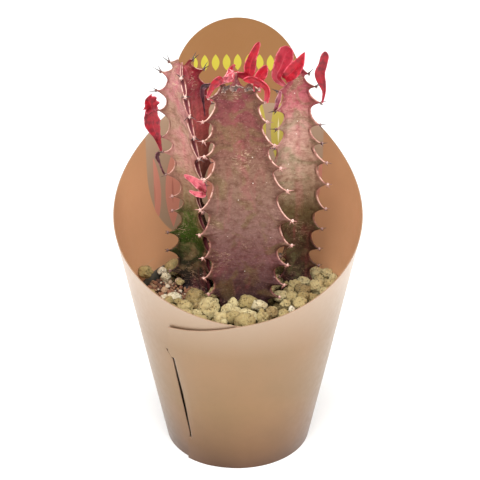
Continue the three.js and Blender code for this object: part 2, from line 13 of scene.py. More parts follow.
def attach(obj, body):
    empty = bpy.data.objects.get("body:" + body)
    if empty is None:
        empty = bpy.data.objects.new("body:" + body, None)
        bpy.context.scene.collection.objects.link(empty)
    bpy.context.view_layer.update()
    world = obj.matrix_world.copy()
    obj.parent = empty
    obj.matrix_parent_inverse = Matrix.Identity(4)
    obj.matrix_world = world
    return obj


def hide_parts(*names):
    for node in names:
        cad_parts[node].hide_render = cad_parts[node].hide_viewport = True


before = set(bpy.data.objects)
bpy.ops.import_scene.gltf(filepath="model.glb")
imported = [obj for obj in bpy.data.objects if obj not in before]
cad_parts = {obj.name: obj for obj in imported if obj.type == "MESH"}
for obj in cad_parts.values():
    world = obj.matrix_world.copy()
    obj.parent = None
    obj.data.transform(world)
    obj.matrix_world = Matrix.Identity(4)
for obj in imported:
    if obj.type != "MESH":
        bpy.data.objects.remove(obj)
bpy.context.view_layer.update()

MM = 0.001
UP = Vector((0, 0, 1))

# ---------------------------------------------------------------- driving dimensions

SLEEVE = {
    "foot_radius": 36.2,  # inner radius at the foot
    "taper": 0.199,  # growth of the radius for each millimetre of height
    "card": 0.5,
    "layer_pitch": 0.9,  # from one layer of the roll to the next
    "front_height": 96.1,
    "rim_rise": 0.165,  # rise of the rim for each degree from the front
    "rim_sweep": 0.00147,  # and for each square degree
    "flap_droop": 0.0011,  # fall of the outer end's rim for each square degree
    "flap_sag": 0.9,  # and how much its rim hangs between the front and its end
    "inner_end": 12,
    "outer_end": -396.6,
    "ear_shoulder": -397.4,  # from here the outer end's top slants down
    "ear_end": -399.6,  # to its lowest corner
    "ear_low": 71.8,
    "tab_radius": 33.4,  # round header tab, as cut from the flat sheet
    "tab_centre": 167.6,
    "tongue_low": 15.7,
    "tongue_high": 68.8,
    "tongue_reach": 16,  # degrees that the tongue runs on behind the slit
    "tongue_slant": 6,  # how much lower its end is cut than its root
    "slit": (-33.8, -37.2),
    "slit_play": (0.4, 3.2),  # room in the slit below and above the tongue
}
# How the sheet lies in its roll, in millimetres outwards and inwards.
ROLL = {
    "stands_off": 0.35,  # the outer end's last stretch, from this azimuth on, over so many degrees
    "stands_off_from": -368,
    "stands_off_over": 24,
    "pull": 0.9,  # the tongue pulls the sheet in round the slit, up to so many degrees from it
    "pull_reach": 15,
    "pull_left": 0.15,  # but hardly so the layer with the slit, to the left of it
    "nip": 0.6,  # and the outer layer is nipped in more, close to the slit
    "nip_reach": 5.5,
    "pull_height": 42,  # where the pull is strongest, and how far it reaches up and down from there
    "pull_spread": 34,
}
# How many degrees the cut of the slit and of the outer end strays from a line straight up the cone.
CUT_STRAYS = [
    (0, -5.2), (13.5, -1.6), (16.5, 0.2), (30, -1.1), (43, -2), (56, -2.5), (68.8, -2.6),
    (72, -1.4), (80, -0.4), (90, 0),
]
# And how far the top of the slit's window runs off beside the outer end's foot.
SLIT_TAIL = [(66, 0), (69, -2.2), (72, -5.6), (75, 0)]

POT = {
    "foot_radius": 34,
    "heel": 1.5,  # height at which its wall starts
    "taper": 0.2067,
    "height": 77.3,
    "lip": 6.5,
    "lip_play": 0.4,  # between the lip and the card
    "wall": 1.2,
    "floor": 1.6,
    "floor_radius": 29,  # of the flat disc with the drains
}
DRAINS = {"radius": 3, "circle": 24, "count": 6, "sides": 20}
GROUND = 69.2  # top of the soil
MOUTH = 48.6  # radius that the stones fill
GRIT_PATCH = {"x": -33.5, "y": 11.5, "long": 13.5, "short": 9, "turn": -35}

SPINE = {"sunk": 1.1, "root": 0.5, "tip": 0.05, "spread": 34, "sides": 7}
WHISKER = {"length": (1.4, 3), "root": 0.32, "age": 0.1, "below": 176}
RIBS = 3
RIB_STEP = 120
RING_STEP = 0.4  # height between two rings of a stem: every tooth falls on one
TOOTH_STEP = 12
BAY_DEPTH = 1.2  # how much deeper a bay is cut than the bay radius says, while its teeth stay
BAY_FLOOR = 0.6  # share of the way up a bay where it is deepest
CROWN = {"height": 10, "tooth": 0.6}  # the ribs' tops stand round a sunken growing point
RIPPLES = [(0.16, 0.16), (0.06, 0.7)]  # height and fineness of the skin's uneven swells
NOWHERE = 99  # an x that no stem reaches

# One leaning column each, with three ribs. Tables run up the stem as (height, value, ...).
#   axis: x and y of its middle; bay: its radius deep in a bay, before BAY_DEPTH
#   turn: azimuth of its first rib; lean: how many degrees each rib turns on above the foot
#   dip: how far the growing point sinks; tooth: how far a tooth stands out of its bay
#   crest: half the width of each rib's edge; deeper: how much more each rib's bays are cut in
#   hollow: how round each rib's bays are cut, above a tooth and under the next one, from 0 to 1
#   line: how pale the ribs' edges are; age: of a spine, from young and pale 0 to old and black 1
#   spines: how far they stand out of a tooth; whiskers: thin pale spines under each tooth
#   teeth: their heights on each rib
STEMS = {
    "front": {
        "axis": [
            (46, 3.6, 4.4), (92, 3.4, 4), (117, 4.2, 3), (147, 3.8, 2.2),
            (162, 1.6, 1.8), (180, -1.2, 1.4), (194, -0.6, 1),
        ],
        "bay": [
            (46, 9.6), (70, 10.4), (78, 15.6), (92, 19.6), (104, 20.6), (118, 22.8), (131, 22.4),
            (147, 19.4), (160, 16.8), (170, 15.8), (180, 14), (190, 12.6), (195, 10.8), (199, 7.4),
        ],
        "turn": [(46, 60), (190, 60)],
        "top": 199,
        "dip": 8,
        "tooth": 4,
        "crest": (0.5, 0.5, 0.5),
        "deeper": (
            [(96, 1.4), (112, 2), (134, 2.4), (150, 1.2), (158, 0), (180, -1.2)], [(0, 0)], [(0, 0.4)],
        ),
        "hollow": [(0.95, 0.15), (0.5, 0.3), (0.9, 0.6)],
        "lean": (0, 0, 0),
        "line": [(78, 0.3), (92, 0.62), (140, 0.74), (170, 0.9), (190, 0.9)],
        "spines": [(80, 1.2), (125, 1.6), (140, 2.8), (176, 2.8), (190, 2.4)],
        "age": [(80, 0.15), (150, 0.1), (185, 0.4)],
        "whiskers": 4,
        "teeth": [
            [82, 90, 102, 114, 128, 144, 156, 168, 180, 190, 196],
            [88, 102, 116, 132, 146, 160, 174, 186, 194],
            [84, 94, 106, 120, 134, 150, 162, 170, 180, 192, 198],
        ],
    },
    "left": {
        "axis": [(46, -19.5, 18.6), (80, -20.6, 18.4), (135, -22.4, 18), (196, -26.4, 17)],
        "bay": [
            (46, 7.4), (70, 8), (78, 9.6), (92, 11), (106, 10), (120, 6.8), (128, 6.8),
            (140, 9.8), (165, 11), (180, 11.6), (187, 10.8), (192, 9), (196, 7), (201, 2.8),
        ],
        "turn": [(46, 40), (95, 38), (133, 27), (152, 21), (170, 13), (189, 5), (196, -2)],
        "top": 201,
        "dip": 4.5,
        "tooth": 4,
        "crest": (1.15, 0.55, 0.55),
        "deeper": ([(0, 0)], [(128, -1), (140, -3), (176, -3), (188, 0)], [(0, 0.6)]),
        "hollow": [(0.55, 0.3), (0.7, 0.4), (0.8, 0.45)],
        "lean": (0, -8, 0),
        "line": [(78, 0.1), (108, 0.25), (124, 0.8), (190, 0.85)],
        "spines": [(80, 1.2), (130, 1.8), (152, 3.4), (196, 3.8)],
        "age": [(80, 1), (112, 0.8), (126, 0.4), (150, 0.9), (196, 1)],
        "whiskers": 0,
        "teeth": [
            [86, 98, 110, 122, 132, 142, 154, 166, 178, 188, 196],
            [80, 92, 104, 116, 128, 140, 152, 164, 174, 184, 194, 200],
            [84, 96, 106, 118, 126, 138, 150, 158, 172, 182, 192, 198],
        ],
    },
    "right": {
        "axis": [(46, 28.6, 18.6), (80, 31, 20), (135, 30, 19.6), (193, 28.6, 19)],
        "bay": [
            (46, 7.4), (70, 7.8), (78, 8.4), (92, 7.6), (111, 9.8), (124, 12), (138, 12.8), (149, 12),
            (160, 9.2), (170, 8.8), (180, 9.4), (186, 8), (190, 6), (197, 2.8),
        ],
        "turn": [(46, 62), (190, 62)],
        "top": 197,
        "dip": 4.5,
        "tooth": 4,
        "crest": (0.55, 0.55, 0.55),
        "deeper": ([(0, 0.6)], [(0, 0)], [(100, -1), (116, -2.6), (150, -2.6), (164, 0)]),
        "hollow": [(0.8, 0.3), (0.5, 0.3), (0.8, 0.3)],
        "lean": (0, 0, 0),
        "line": [(78, 0.1), (104, 0.2), (124, 0.7), (190, 0.7)],
        "spines": [(80, 1.4), (130, 1.8), (160, 2.6), (190, 3)],
        "age": [(80, 1), (112, 0.8), (130, 0.35), (158, 0.9), (196, 1)],
        "whiskers": 1,
        "teeth": [
            [88, 98, 110, 122, 136, 148, 158, 168, 180, 188, 194],
            [88, 100, 112, 124, 136, 148, 160, 172, 184, 192],
            [82, 94, 106, 120, 132, 144, 156, 166, 176, 186, 194],
        ],
    },
}

# A leaf grows from a rib's crest: stem, rib and height. It runs through the places given, up to its
# tip, and the widths are at its root and at each of those places. The face is the way that its upper
# side looks at the root, and turns by the twist up to the tip. Ragged is how torn its edge is, and
# wave how high its ruffles are, of which it has so many waves.
PLAIN_BLADE = {"ragged": 0.06, "wave": 0.3, "waves": 2.5}  # where a leaf says nothing else
BLADE = {"cup": 0.14, "columns": 12, "rows": 36, "round_from": 0.9, "least_width": 0.3, "thickness": 0.5}
LEAVES = {
    "leaf_left_tall": {
        "on": ("left", 2, 150),
        "through": [
            (-39, 17, 159), (-40.6, 17, 164), (-41.5, 17, 168.4), (-41.7, 17, 172), (-41.6, 17, 175.2),
        ],
        "widths": [0.9, 3.2, 6.2, 8, 6.8, 5.4], "face": (0.1, -1, 0.2), "twist": -10, "ragged": 0.12,
    },
    "leaf_left_dried": {
        "on": ("left", 2, 138),
        "through": [(-36.7, 16.5, 140.6), (-38.6, 16.5, 146.4), (-39.6, 16.5, 149.6), (-38.4, 16.4, 151.8)],
        "widths": [0.9, 0.9, 1.2, 3, 2.2], "face": (0, -1, 0.2), "twist": 40, "ragged": 0.5,
    },
    "leaf_left_pink": {
        "on": ("left", 0, 132), "through": [(-17.4, 1, 140.6), (-20.4, 0.8, 143.6), (-25.9, 1, 147.3)],
        "widths": [2.4, 5, 4.2, 1.4], "face": (-0.2, -1, 0.5), "twist": 0, "ragged": 0.12,
    },
    "leaf_left_withered": {
        "on": ("left", 1, 184),
        "through": [(-15, 20, 186), (-17, 17.6, 184.6), (-16.4, 17, 177), (-15.8, 17, 171)],
        "widths": [1, 2.2, 2.4, 0.9, 0.7], "face": (0.3, -1, 0.3), "twist": 40, "ragged": 0.5,
    },
    "leaf_left_back": {
        "on": ("left", 1, 174), "through": [(-15.8, 30.2, 175.6), (-19.4, 32.6, 180), (-22, 34, 184)],
        "widths": [1.2, 4, 5, 2], "face": (0.2, 1, 0.4), "twist": 20,
    },
    "leaf_front_left": {
        "on": ("front", 2, 192), "through": [(-11.9, -7, 197.6), (-9.7, -7.2, 200.4), (-6.8, -6.6, 202.6)],
        "widths": [1.2, 2.6, 4.2, 3.4], "face": (-0.3, -1, 0.5), "twist": 0,
    },
    "leaf_front_bud": {
        "on": ("front", 2, 198), "through": [(-5, -3, 200.6), (-3.2, -2.8, 202.8), (-2.2, -2.6, 204.6)],
        "widths": [2, 3.4, 3.2, 1.4], "face": (0.2, -1, 0.2), "twist": 60, "ragged": 0.3,
    },
    "leaf_front_tall": {
        "on": ("front", 1, 194.6),
        "through": [
            (4.9, 4.8, 198.6), (6.1, 4.8, 203.6), (7.3, 4.8, 208.4), (8.9, 4.8, 212.4), (10.3, 4.8, 215.8),
        ],
        "widths": [2.4, 4.4, 5.9, 4.2, 3.3, 2], "face": (-0.1, -1, 0.2), "twist": -12,
    },
    "leaf_front_small": {
        "on": ("front", 0, 194.2), "through": [(10, -3.2, 200), (11.9, -3, 203.6), (13.6, -3, 207.4)],
        "widths": [3.4, 4.8, 5, 2.2], "face": (-0.2, -1, 0.3), "twist": 0,
    },
    "leaf_front_arch": {
        "on": ("front", 0, 190),
        "through": [
            (14.2, -8.8, 196.4), (12.6, -9.4, 200.2), (9.4, -9.6, 202.6), (5.6, -9, 203), (2.6, -8.4, 202.4),
        ],
        "widths": [2, 3.6, 3.8, 4, 3.6, 1.6], "face": (-0.6, -1, 0.3), "twist": -30,
    },
    "leaf_front_back": {
        "on": ("front", 1, 186), "through": [(-1.4, 22.6, 188.4), (-2.4, 25.6, 191), (-1.2, 28.4, 193)],
        "widths": [1.2, 4, 5, 2], "face": (0, 1, 0.4), "twist": 20,
    },
    "leaf_right_broad": {
        "on": ("right", 2, 188),
        "through": [(18.7, 13, 193.6), (20.6, 13.4, 199), (22.4, 13.8, 204.4), (23.6, 14, 209.6)],
        "widths": [1.8, 4.6, 7.6, 8.8, 6.4], "face": (-0.1, -1, 0.2), "twist": 6, "ragged": 0.1,
    },
    "leaf_right_pointed": {
        "on": ("right", 2, 191.4),
        "through": [(22.6, 8, 195.2), (26, 6.4, 199.6), (29.2, 5.6, 204.4), (31.6, 5.6, 210.2)],
        "widths": [1.6, 4, 7, 5.4, 0.9], "face": (-0.4, -1, 0.2), "twist": 0,
    },
    "leaf_right_hanging": {
        "on": ("right", 2, 176), "through": [(18.4, 7.6, 180), (19.4, 7.2, 184.6), (20.6, 7.6, 189)],
        "widths": [1, 1.8, 2.6, 1.6], "face": (-0.4, -1, 0), "twist": 40, "ragged": 0.4,
    },
    "leaf_right_twisted": {
        "on": ("right", 0, 180),
        "through": [
            (41.4, 11.5, 186.6), (40.4, 11.5, 191.4), (39.2, 11.5, 196.4),
            (40.6, 11.4, 201.6), (41.6, 11.2, 208),
        ],
        "widths": [0.8, 1.8, 3.8, 5, 4.4, 4.2], "face": (-0.2, -1, 0.1), "twist": 20,
    },
    "leaf_right_back": {
        "on": ("right", 1, 172), "through": [(29.6, 37.6, 177), (29, 39.6, 183), (29.6, 40, 190)],
        "widths": [1.2, 4, 5.6, 2], "face": (0, 1, 0.3), "twist": -20,
    },
}
# More folds that belong to a leaf. They may start at a root of their own, and some are dry.
FOLDS = {
    "leaf_left_tall": [
        {
            "root": (-41.4, 16.6, 173.6),
            "through": [(-41.8, 16, 176.8), (-42.6, 15.8, 179), (-44.2, 15.6, 180.8)],
            "widths": [5.4, 7.4, 8.2, 5.4], "face": (0.4, -1, 0.1), "twist": 20, "ragged": 0.55,
            "wave": 0.5, "waves": 3.5,
        },
    ],
    "leaf_left_pink": [
        {
            "on": ("left", 0, 132), "through": [(-16.8, 0.4, 136.4), (-20, 0.4, 137), (-23.6, 0.8, 138.6)],
            "widths": [2.2, 3, 2.6, 1], "face": (-0.1, -1, 0.9), "twist": 0,
        },
    ],
    "leaf_front_bud": [
        {
            "root": (-5.4, -3.4, 198.8),
            "through": [(-4.4, -3.4, 201.2), (-3.6, -3.2, 203.4), (-4, -3, 205.6)],
            "widths": [2.6, 4.4, 3.4, 1], "face": (0.4, -1, 0.2), "twist": -30, "ragged": 0.5, "wave": 0.7,
        },
        {
            "root": (-6.6, -6.6, 195), "through": [(-6, -7, 196.6), (-4.8, -7, 198), (-3.4, -6.6, 198.8)],
            "widths": [1.8, 2.4, 2, 0.8], "face": (0.2, -1, 0.7), "twist": 60, "ragged": 0.9, "wave": 0.7,
            "waves": 3, "dry": True,
        },
        {
            "root": (-3.4, -6.6, 196.4), "through": [(-1.4, -7, 197.6), (0.8, -6.8, 198), (3, -6.4, 197.4)],
            "widths": [1.6, 2.2, 1.8, 0.8], "face": (0, -1, 0.8), "twist": 80, "ragged": 0.9, "wave": 0.8,
            "waves": 3.5, "dry": True,
        },
        {
            "root": (3.4, -6.6, 196), "through": [(5.4, -7, 197), (7.6, -6.8, 196.4)],
            "widths": [1.4, 2, 0.8], "face": (0, -1, 0.8), "twist": -60, "ragged": 0.9, "wave": 0.6,
            "waves": 3, "dry": True,
        },
    ],
}

# The stones that show, set one by one: x, y, height, radius and tone, from brown 0 to greyish white 1.
SHOWN_STONES = [
    (-3.5, -13.5, 78, 4.3, 0.8), (5.5, -5.5, 78, 4.8, 0.3), (4.6, -18, 78, 4.7, 0.85),
    (12, -18.9, 78, 3.4, 0.6), (16.9, -14, 78, 3.2, 0.1), (22.8, -14.9, 78, 2.5, 0.5),
    (26.9, -11.3, 78, 2, 1), (24.1, -6.3, 78, 2.5, 0.65), (31.3, -5.9, 78, 3.7, 0.6),
    (21.4, 1.7, 78, 3.5, 0.85), (26.9, 0.8, 78, 3, 0.6), (28.4, 11.5, 78, 3.3, 0.6),
    (32.6, 6.5, 78, 3.8, 0.15), (33.3, 15.7, 78, 3.3, 0.85), (38.9, 23.3, 78, 4.3, 0.8),
    (40.4, 10.1, 78, 4.5, 0.7), (42.1, 16.7, 78, 3.6, 0.6), (37.2, 0, 78, 2.5, 0.2),
    (45.3, 19, 81, 3.1, 0.75), (48.5, 12.6, 82, 2.5, 0.8), (46.3, 10.3, 80, 3, 0.6),
    (43.6, 4.4, 78.6, 3, 0.7), (40.6, -4.6, 77.6, 3, 0.5), (34.4, -12.4, 77, 3.2, 0.6),
    (-20.6, -0.2, 78, 5.5, 0.2), (-14.7, -10.4, 78, 5.5, 0.7), (-8.4, -19.5, 78, 4.2, 0.7),
    (-32.2, -0.2, 78, 3.3, 0.95), (-26.2, -8.7, 78, 3.5, 0.6), (-20.3, -15.3, 78, 2.5, 0.75),
    (-36.7, -0.2, 78, 1.8, 1), (-46.7, 15.5, 84, 3.6, 0.3), (-38.5, 25.9, 78, 2.6, 1),
    (-36.5, 19.7, 78, 2.5, 0.95), (-29, 15.3, 78, 2, 0.6),
]

CAMERA = {"place": (1.2, -855.4, 605.3), "pitch": 30, "lens": 150.45, "sensor": 36}
# Place and size in metres, and power in watts.
SOFTBOXES = {
    "top": ((0, -0.55, 1.4), (1.4, 1.2), 24),
    "front_left": ((-0.7, -0.9, 1.15), (1.0, 1.0), 8),
    "front_right": ((0.7, -0.9, 1.1), (1.0, 1.0), 4),
    "side_left": ((-0.9, 0.1, 0.35), (0.4, 0.8), 3),
    "side_right": ((0.9, 0.1, 0.35), (0.4, 0.8), 5),
}
LIT_HEIGHT = 110  # height that the softboxes are aimed at
SKY = 0.6

# ---------------------------------------------------------------- small sums

def mix(a, b, share):
    return a + (b - a) * share


def smooth(share):
    share = min(1, max(0, share))
    return share * share * (3 - 2 * share)


def along(table, height, column=1):
    """The value of a table at a height, eased between its knots."""
    if height <= table[0][0]:
        return table[0][column]
    for low, high in zip(table, table[1:]):
        if height < high[0]:
            share = (height - low[0]) / (high[0] - low[0])
            return mix(low[column], high[column], mix(share, smooth(share), 0.5))
    return table[-1][column]


def spline(points, share):
    """A place along a smooth line through the points, share 0 to 1."""
    spans = len(points) - 1
    span = min(int(share * spans), spans - 1)
    t = share * spans - span
    before = points[span - 1] if span else points[0] * 2 - points[1]
    after = points[span + 2] if span + 2 <= spans else points[-1] * 2 - points[-2]
    a, b = points[span], points[span + 1]
    return 0.5 * (
        2 * a + (b - before) * t + (2 * before - 5 * a + 4 * b - after) * t * t
        + (3 * a - before - 3 * b + after) * t * t * t
    )


def spread(first, last, steps):
    return [mix(first, last, i / steps) for i in range(steps + 1)]


def outwards(azimuth):
    return Vector((math.sin(math.radians(azimuth)), -math.cos(math.radians(azimuth)), 0))


# ---------------------------------------------------------------- meshes

def add_grid(bm, columns, rows, place, **marks):
    """Adds a sheet of faces with each vertex at place(column, row). Marks are attributes of its points."""
    layers = {name: bm.verts.layers.float.get(name) or bm.verts.layers.float.new(name) for name in marks}
    made = bmesh.ops.create_grid(bm, x_segments=columns, y_segments=rows, size=0.5)["verts"]
    for vert in made:
        column = round((vert.co.x + 0.5) * columns)
        row = round((vert.co.y + 0.5) * rows)
        vert.co = place(column, row) * MM
        for name, layer in layers.items():
            vert[layer] = marks[name](column, row)
    return made


def faces_of(verts):
    return list({face for vert in verts for face in vert.link_faces})


def keep_sharp(bm, degrees):
    """Edges that fold by more than this aren't shaded round."""
    for edge in bm.edges:
        edge.smooth = edge.calc_face_angle(0) < math.radians(degrees)


def add_piece(name, bm, materials, slot, *nodes):
    """Makes bm an object that rides on the one body and stands for those nodes."""
    for face in bm.faces:
        face.smooth = True
    mesh = bpy.data.meshes.new(name)
    bm.to_mesh(mesh)
    bm.free()
    for material in materials:
        mesh.materials.append(material)
    made = bpy.data.objects.new(name, mesh)
    bpy.context.scene.collection.objects.link(made)
    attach(made, "root")
    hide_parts(*nodes)
    return made


# ---------------------------------------------------------------- materials

def colour(code):
    """A screen colour such as b87f5a as the shader takes it."""
    parts = [int(code[i:i + 2], 16) / 255 for i in (0, 2, 4)]
    return tuple(p / 12.92 if p <= 0.04045 else ((p + 0.055) / 1.055) ** 2.4 for p in parts) + (1,)


class Finish:
    """One material, with its nodes built step by step from sockets and plain values."""

    def __init__(self, name, **sockets):
        self.material = bpy.data.materials.new(name)
        self.material.use_nodes = True
        self.tree = self.material.node_tree
        self.shader = self.tree.nodes["Principled BSDF"]
        for socket, value in sockets.items():
            self.shader.inputs[socket.replace("_", " ")].default_value = value
        self.place = self.add("ShaderNodeTexCoord").outputs["Object"]

    def add(self, kind, inputs=(), **settings):
        node = self.tree.nodes.new(kind)
        for name, value in settings.items():
            setattr(node, name, value)
        for socket, value in dict(inputs).items():
            self.feed(node.inputs[socket], value)
        return node

    def feed(self, socket, value):
        if isinstance(value, bpy.types.NodeSocket):
            self.tree.links.new(value, socket)
        elif isinstance(value, str):
            socket.default_value = colour(value)
        else:
            socket.default_value = value

    def mark(self, name):
        return self.add("ShaderNodeAttribute", attribute_name=name).outputs["Fac"]

    def axis(self, name):
        return self.add("ShaderNodeSeparateXYZ", {0: self.place}).outputs[name]

    def noise(self, grain, detail=3, place=None, distortion=0):
        """Noise whose lumps are about as big as the grain."""
        inputs = {"Vector": place or self.place, "Scale": 1 / (grain * MM), "Detail": detail}
        return self.add("ShaderNodeTexNoise", {**inputs, "Distortion": distortion}).outputs["Fac"]

    def stretched(self, x, y, z):
        """The object's places, scaled along each axis: below 1 draws a pattern out that way."""
        return self.add("ShaderNodeMapping", {"Vector": self.place, "Scale": (x, y, z)}).outputs[0]

    def cells(self, grain):
        """How far a point is from the nearest of the spots that are strewn about a grain apart."""
        inputs = {"Vector": self.place, "Scale": 1 / (grain * MM)}
        return self.add("ShaderNodeTexVoronoi", inputs).outputs["Distance"]

    def sum(self, operation, a, b=0):
        return self.add("ShaderNodeMath", {0: a, 1: b}, operation=operation).outputs[0]

    def rise(self, value, low, high, to_low=0, to_high=1):
        """0 below low and 1 above high, or the other way round."""
        inputs = {"Value": value, "From Min": low, "From Max": high, "To Min": to_low, "To Max": to_high}
        return self.add("ShaderNodeMapRange", inputs, interpolation_type="SMOOTHSTEP").outputs[0]

    def tint(self, share, a, b, blend="MIX"):
        """Colour a turned into colour b by a share."""
        node = self.add("ShaderNodeMix", data_type="RGBA", blend_type=blend)
        for index, value in ((0, share), (6, a), (7, b)):
            self.feed(node.inputs[index], value)
        return node.outputs[2]

    def ramp(self, value, stops):
        node = self.add("ShaderNodeValToRGB", {0: value})
        elements = node.color_ramp.elements
        while len(elements) < len(stops):
            elements.new(0.5)
        for element, (place, code) in zip(elements, stops):
            element.position = place
            element.color = colour(code)
        return node.outputs["Color"]

    def up_ramp(self, low, high, table):
        """Colours up the object, given as (height, colour)."""
        height = self.add("ShaderNodeMapRange", {
            "Value": self.axis("Z"), "From Min": low * MM, "From Max": high * MM,
        }).outputs[0]
        return self.ramp(height, [((z - low) / (high - low), code) for z, code in table])

    def bump(self, height, depth, strength=1, normal=None):
        inputs = {"Height": height, "Distance": depth * MM, "Strength": strength}
        if normal:
            inputs["Normal"] = normal
        return self.add("ShaderNodeBump", inputs).outputs["Normal"]

    def done(self, base, roughness=None, normal=None):
        self.feed(self.shader.inputs["Base Color"], base)
        if roughness:
            self.feed(self.shader.inputs["Roughness"], roughness)
        if normal:
            self.feed(self.shader.inputs["Normal"], normal)
        return self.material


def card_base(finish, base):
    """The faint clouding that all of the printed card has."""
    cloud = finish.rise(finish.noise(34, 4), 0.3, 0.75)
    return finish.tint(finish.sum("MULTIPLY", cloud, 0.16), base, "a87650")


def card_normal(finish):
    grain = finish.noise(0.5, 2)
    wave = finish.noise(22, 1)
    return finish.bump(grain, 0.02, 0.5, finish.bump(wave, 0.5, 0.3))


def card_outside():
    """Satin print with painted light and shade up it, palest at the rim and darkest at the foot, and the
    tongue's fold painted dark as the shade in the slit.
    """
    finish = Finish(
        "printed_card_outside", Metallic=0.55, Roughness=0.36, Coat_Weight=0.3, Coat_Roughness=0.3,
    )
    # Painted light and shade: the outside's colour ramp runs from dark at the foot to pale at the rim.
    base = card_base(finish, finish.up_ramp(0, 110, [
        (0, "4e2e12"), (12, "62421f"), (40, "7c5e3a"), (75, "866a4b"), (108, "aa9480"),
    ]))
    # Painted shade: the tongue goes near black where it dives under the slit.
    base = finish.tint(finish.sum("MULTIPLY", finish.mark("fold"), 0.96), base, "1c110a")
    return finish.done(base, finish.rise(finish.noise(3, 4), 0.2, 0.8, 0.33, 0.42), card_normal(finish))


def row_of_blades(finish, across, up, pitch, high, centre, reach):
    """How deep in an upright blade of a printed row a point is: 0 outside it, 1 on its middle line."""
    cell = finish.sum("FRACT", finish.sum("ADD", finish.sum("DIVIDE", across, pitch), 100.5))
    aside = finish.sum("MULTIPLY", finish.sum("ABSOLUTE", finish.sum("SUBTRACT", cell, 0.5)), 2.5)
    above = finish.sum("DIVIDE", finish.sum("SUBTRACT", up, centre), high / 2)
    depth = finish.sum("SUBTRACT", finish.sum("SUBTRACT", 1, aside), finish.sum("MULTIPLY", above, above))
    within = finish.rise(finish.sum("ABSOLUTE", across), reach + 0.2, reach - 0.2)
    return finish.sum("MULTIPLY", finish.sum("MAXIMUM", depth, 0), within)


def print_blades(finish, base, depth, share, body, middle):
    base = finish.tint(finish.sum("MULTIPLY", finish.rise(depth, 0.02, 0.08), share), base, body)
    return finish.tint(finish.sum("MULTIPLY", finish.rise(depth, 0.84, 0.93), share), base, middle)


# Inside the back, on the flat sheet: a taupe panel that is round below, and a crease at its right.
PANEL = {"middle": 2.2, "half": 49.5, "centre": 128, "deep": 46, "top": 157, "bend": 2.3}
CREASE = {"from": 48.4, "to": 67, "low": 80.2, "slope": -0.247}
TOP_ROW = {"pitch": 5.6, "high": 9, "centre": 178, "reach": 22.4}
GREEN_ROW = {"pitch": 10.6, "high": 38, "centre": 143, "reach": 26}
PINK_ROW = {"pitch": 11.8, "high": 40, "centre": 113, "reach": 47.2}


def on_panel(finish, across, up):
    """1 on the panel and 0 off it."""
    aside = finish.sum("DIVIDE", finish.sum("SUBTRACT", across, PANEL["middle"]), PANEL["half"])
    below = finish.sum("DIVIDE", finish.sum("SUBTRACT", PANEL["centre"], up), PANEL["deep"])
    ring = finish.sum(
        "ADD", finish.sum("POWER", finish.sum("ABSOLUTE", aside), PANEL["bend"]),
        finish.sum("POWER", finish.sum("MAXIMUM", below, 0), PANEL["bend"]),
    )
    under_top = finish.rise(up, PANEL["top"] + 0.4, PANEL["top"])
    return finish.sum("MULTIPLY", finish.rise(ring, 1.02, 0.98), under_top)


def on_crease(finish, across, up):
    """1 on the crease, a short slanting line, and 0 off it."""
    line = finish.sum("MULTIPLY", finish.sum("SUBTRACT", across, CREASE["from"]), CREASE["slope"])
    line = finish.sum("SUBTRACT", finish.sum("SUBTRACT", up, CREASE["low"]), line)
    middle = (CREASE["from"] + CREASE["to"]) / 2
    half = (CREASE["to"] - CREASE["from"]) / 2
    along_it = finish.rise(finish.sum("ABSOLUTE", finish.sum("SUBTRACT", across, middle)), half, half - 2)
    return finish.sum("MULTIPLY", finish.rise(finish.sum("ABSOLUTE", line), 0.4, 0.1), along_it)


def card_inside():
    """Bronze print, with rows of plain blades on the panel and a yellow row of them on the tab."""
    finish = Finish("printed_card_inside", Metallic=0.1, Roughness=0.5, Coat_Weight=0.1, Coat_Roughness=0.35)
    across = finish.mark("flat_x")
    up = finish.mark("flat_y")
    base = card_base(finish, finish.up_ramp(20, 200, [
        (20, "eeb68a"), (70, "ecb488"), (120, "d6a076"), (150, "b0825a"), (162, "986c40"), (200, "885e32"),
    ]))
    panel = on_panel(finish, across, up)
    base = finish.tint(panel, base, "b0947a")
    green = finish.sum("MULTIPLY", row_of_blades(finish, across, up, **GREEN_ROW), panel)
    green = finish.sum("MULTIPLY", green, finish.rise(across, -0.3, -0.7))
    base = print_blades(finish, base, green, 0.9, "c2b248", "ece2b0")
    pink = finish.sum("MULTIPLY", row_of_blades(finish, across, up, **PINK_ROW), panel)
    base = print_blades(finish, base, pink, 0.85, "d98c78", "b96c5c")
    row = row_of_blades(finish, across, up, **TOP_ROW)
    base = finish.tint(finish.sum("MULTIPLY", finish.rise(row, 0.05, 0.2), 0.9), base, "c6bd3c")
    base = finish.tint(finish.sum("MULTIPLY", on_crease(finish, across, up), 0.5), base, "dcb794")
    return finish.done(base, finish.rise(finish.noise(3, 4), 0.2, 0.8, 0.42, 0.55), card_normal(finish))


def card_edge():
    finish = Finish("cut_card_edge", Roughness=0.8)
    base = finish.tint(finish.noise(0.8, 3), "7c5f49", "a3846a")
    return finish.done(base, normal=finish.bump(finish.noise(0.4, 2), 0.05))


def pot_plastic():
    finish = Finish("moulded_black_plastic", Roughness=0.5)
    dust = finish.rise(finish.noise(2.5, 6), 0.45, 0.8)
    # Painted reflection: the lip is paler towards its top.
    high = finish.rise(finish.axis("Z"), 70 * MM, 78 * MM)
    base = finish.tint(finish.sum("MULTIPLY", dust, 0.35), "1c1d1b", "6d6658")
    base = finish.tint(finish.sum("MULTIPLY", high, 0.25), base, "8b8474")
    rough = finish.rise(dust, 0, 1, 0.42, 0.8)
    return finish.done(base, rough, finish.bump(finish.noise(0.35, 2), 0.03))


def potting_soil():
    finish = Finish("potting_soil", Roughness=0.95)
    crumb = finish.noise(1.6, 6)
    base = finish.ramp(crumb, [(0.3, "1d130c"), (0.5, "3a2618"), (0.68, "5c402a"), (0.8, "7c6247")])
    return finish.done(base, normal=finish.bump(crumb, 0.8))


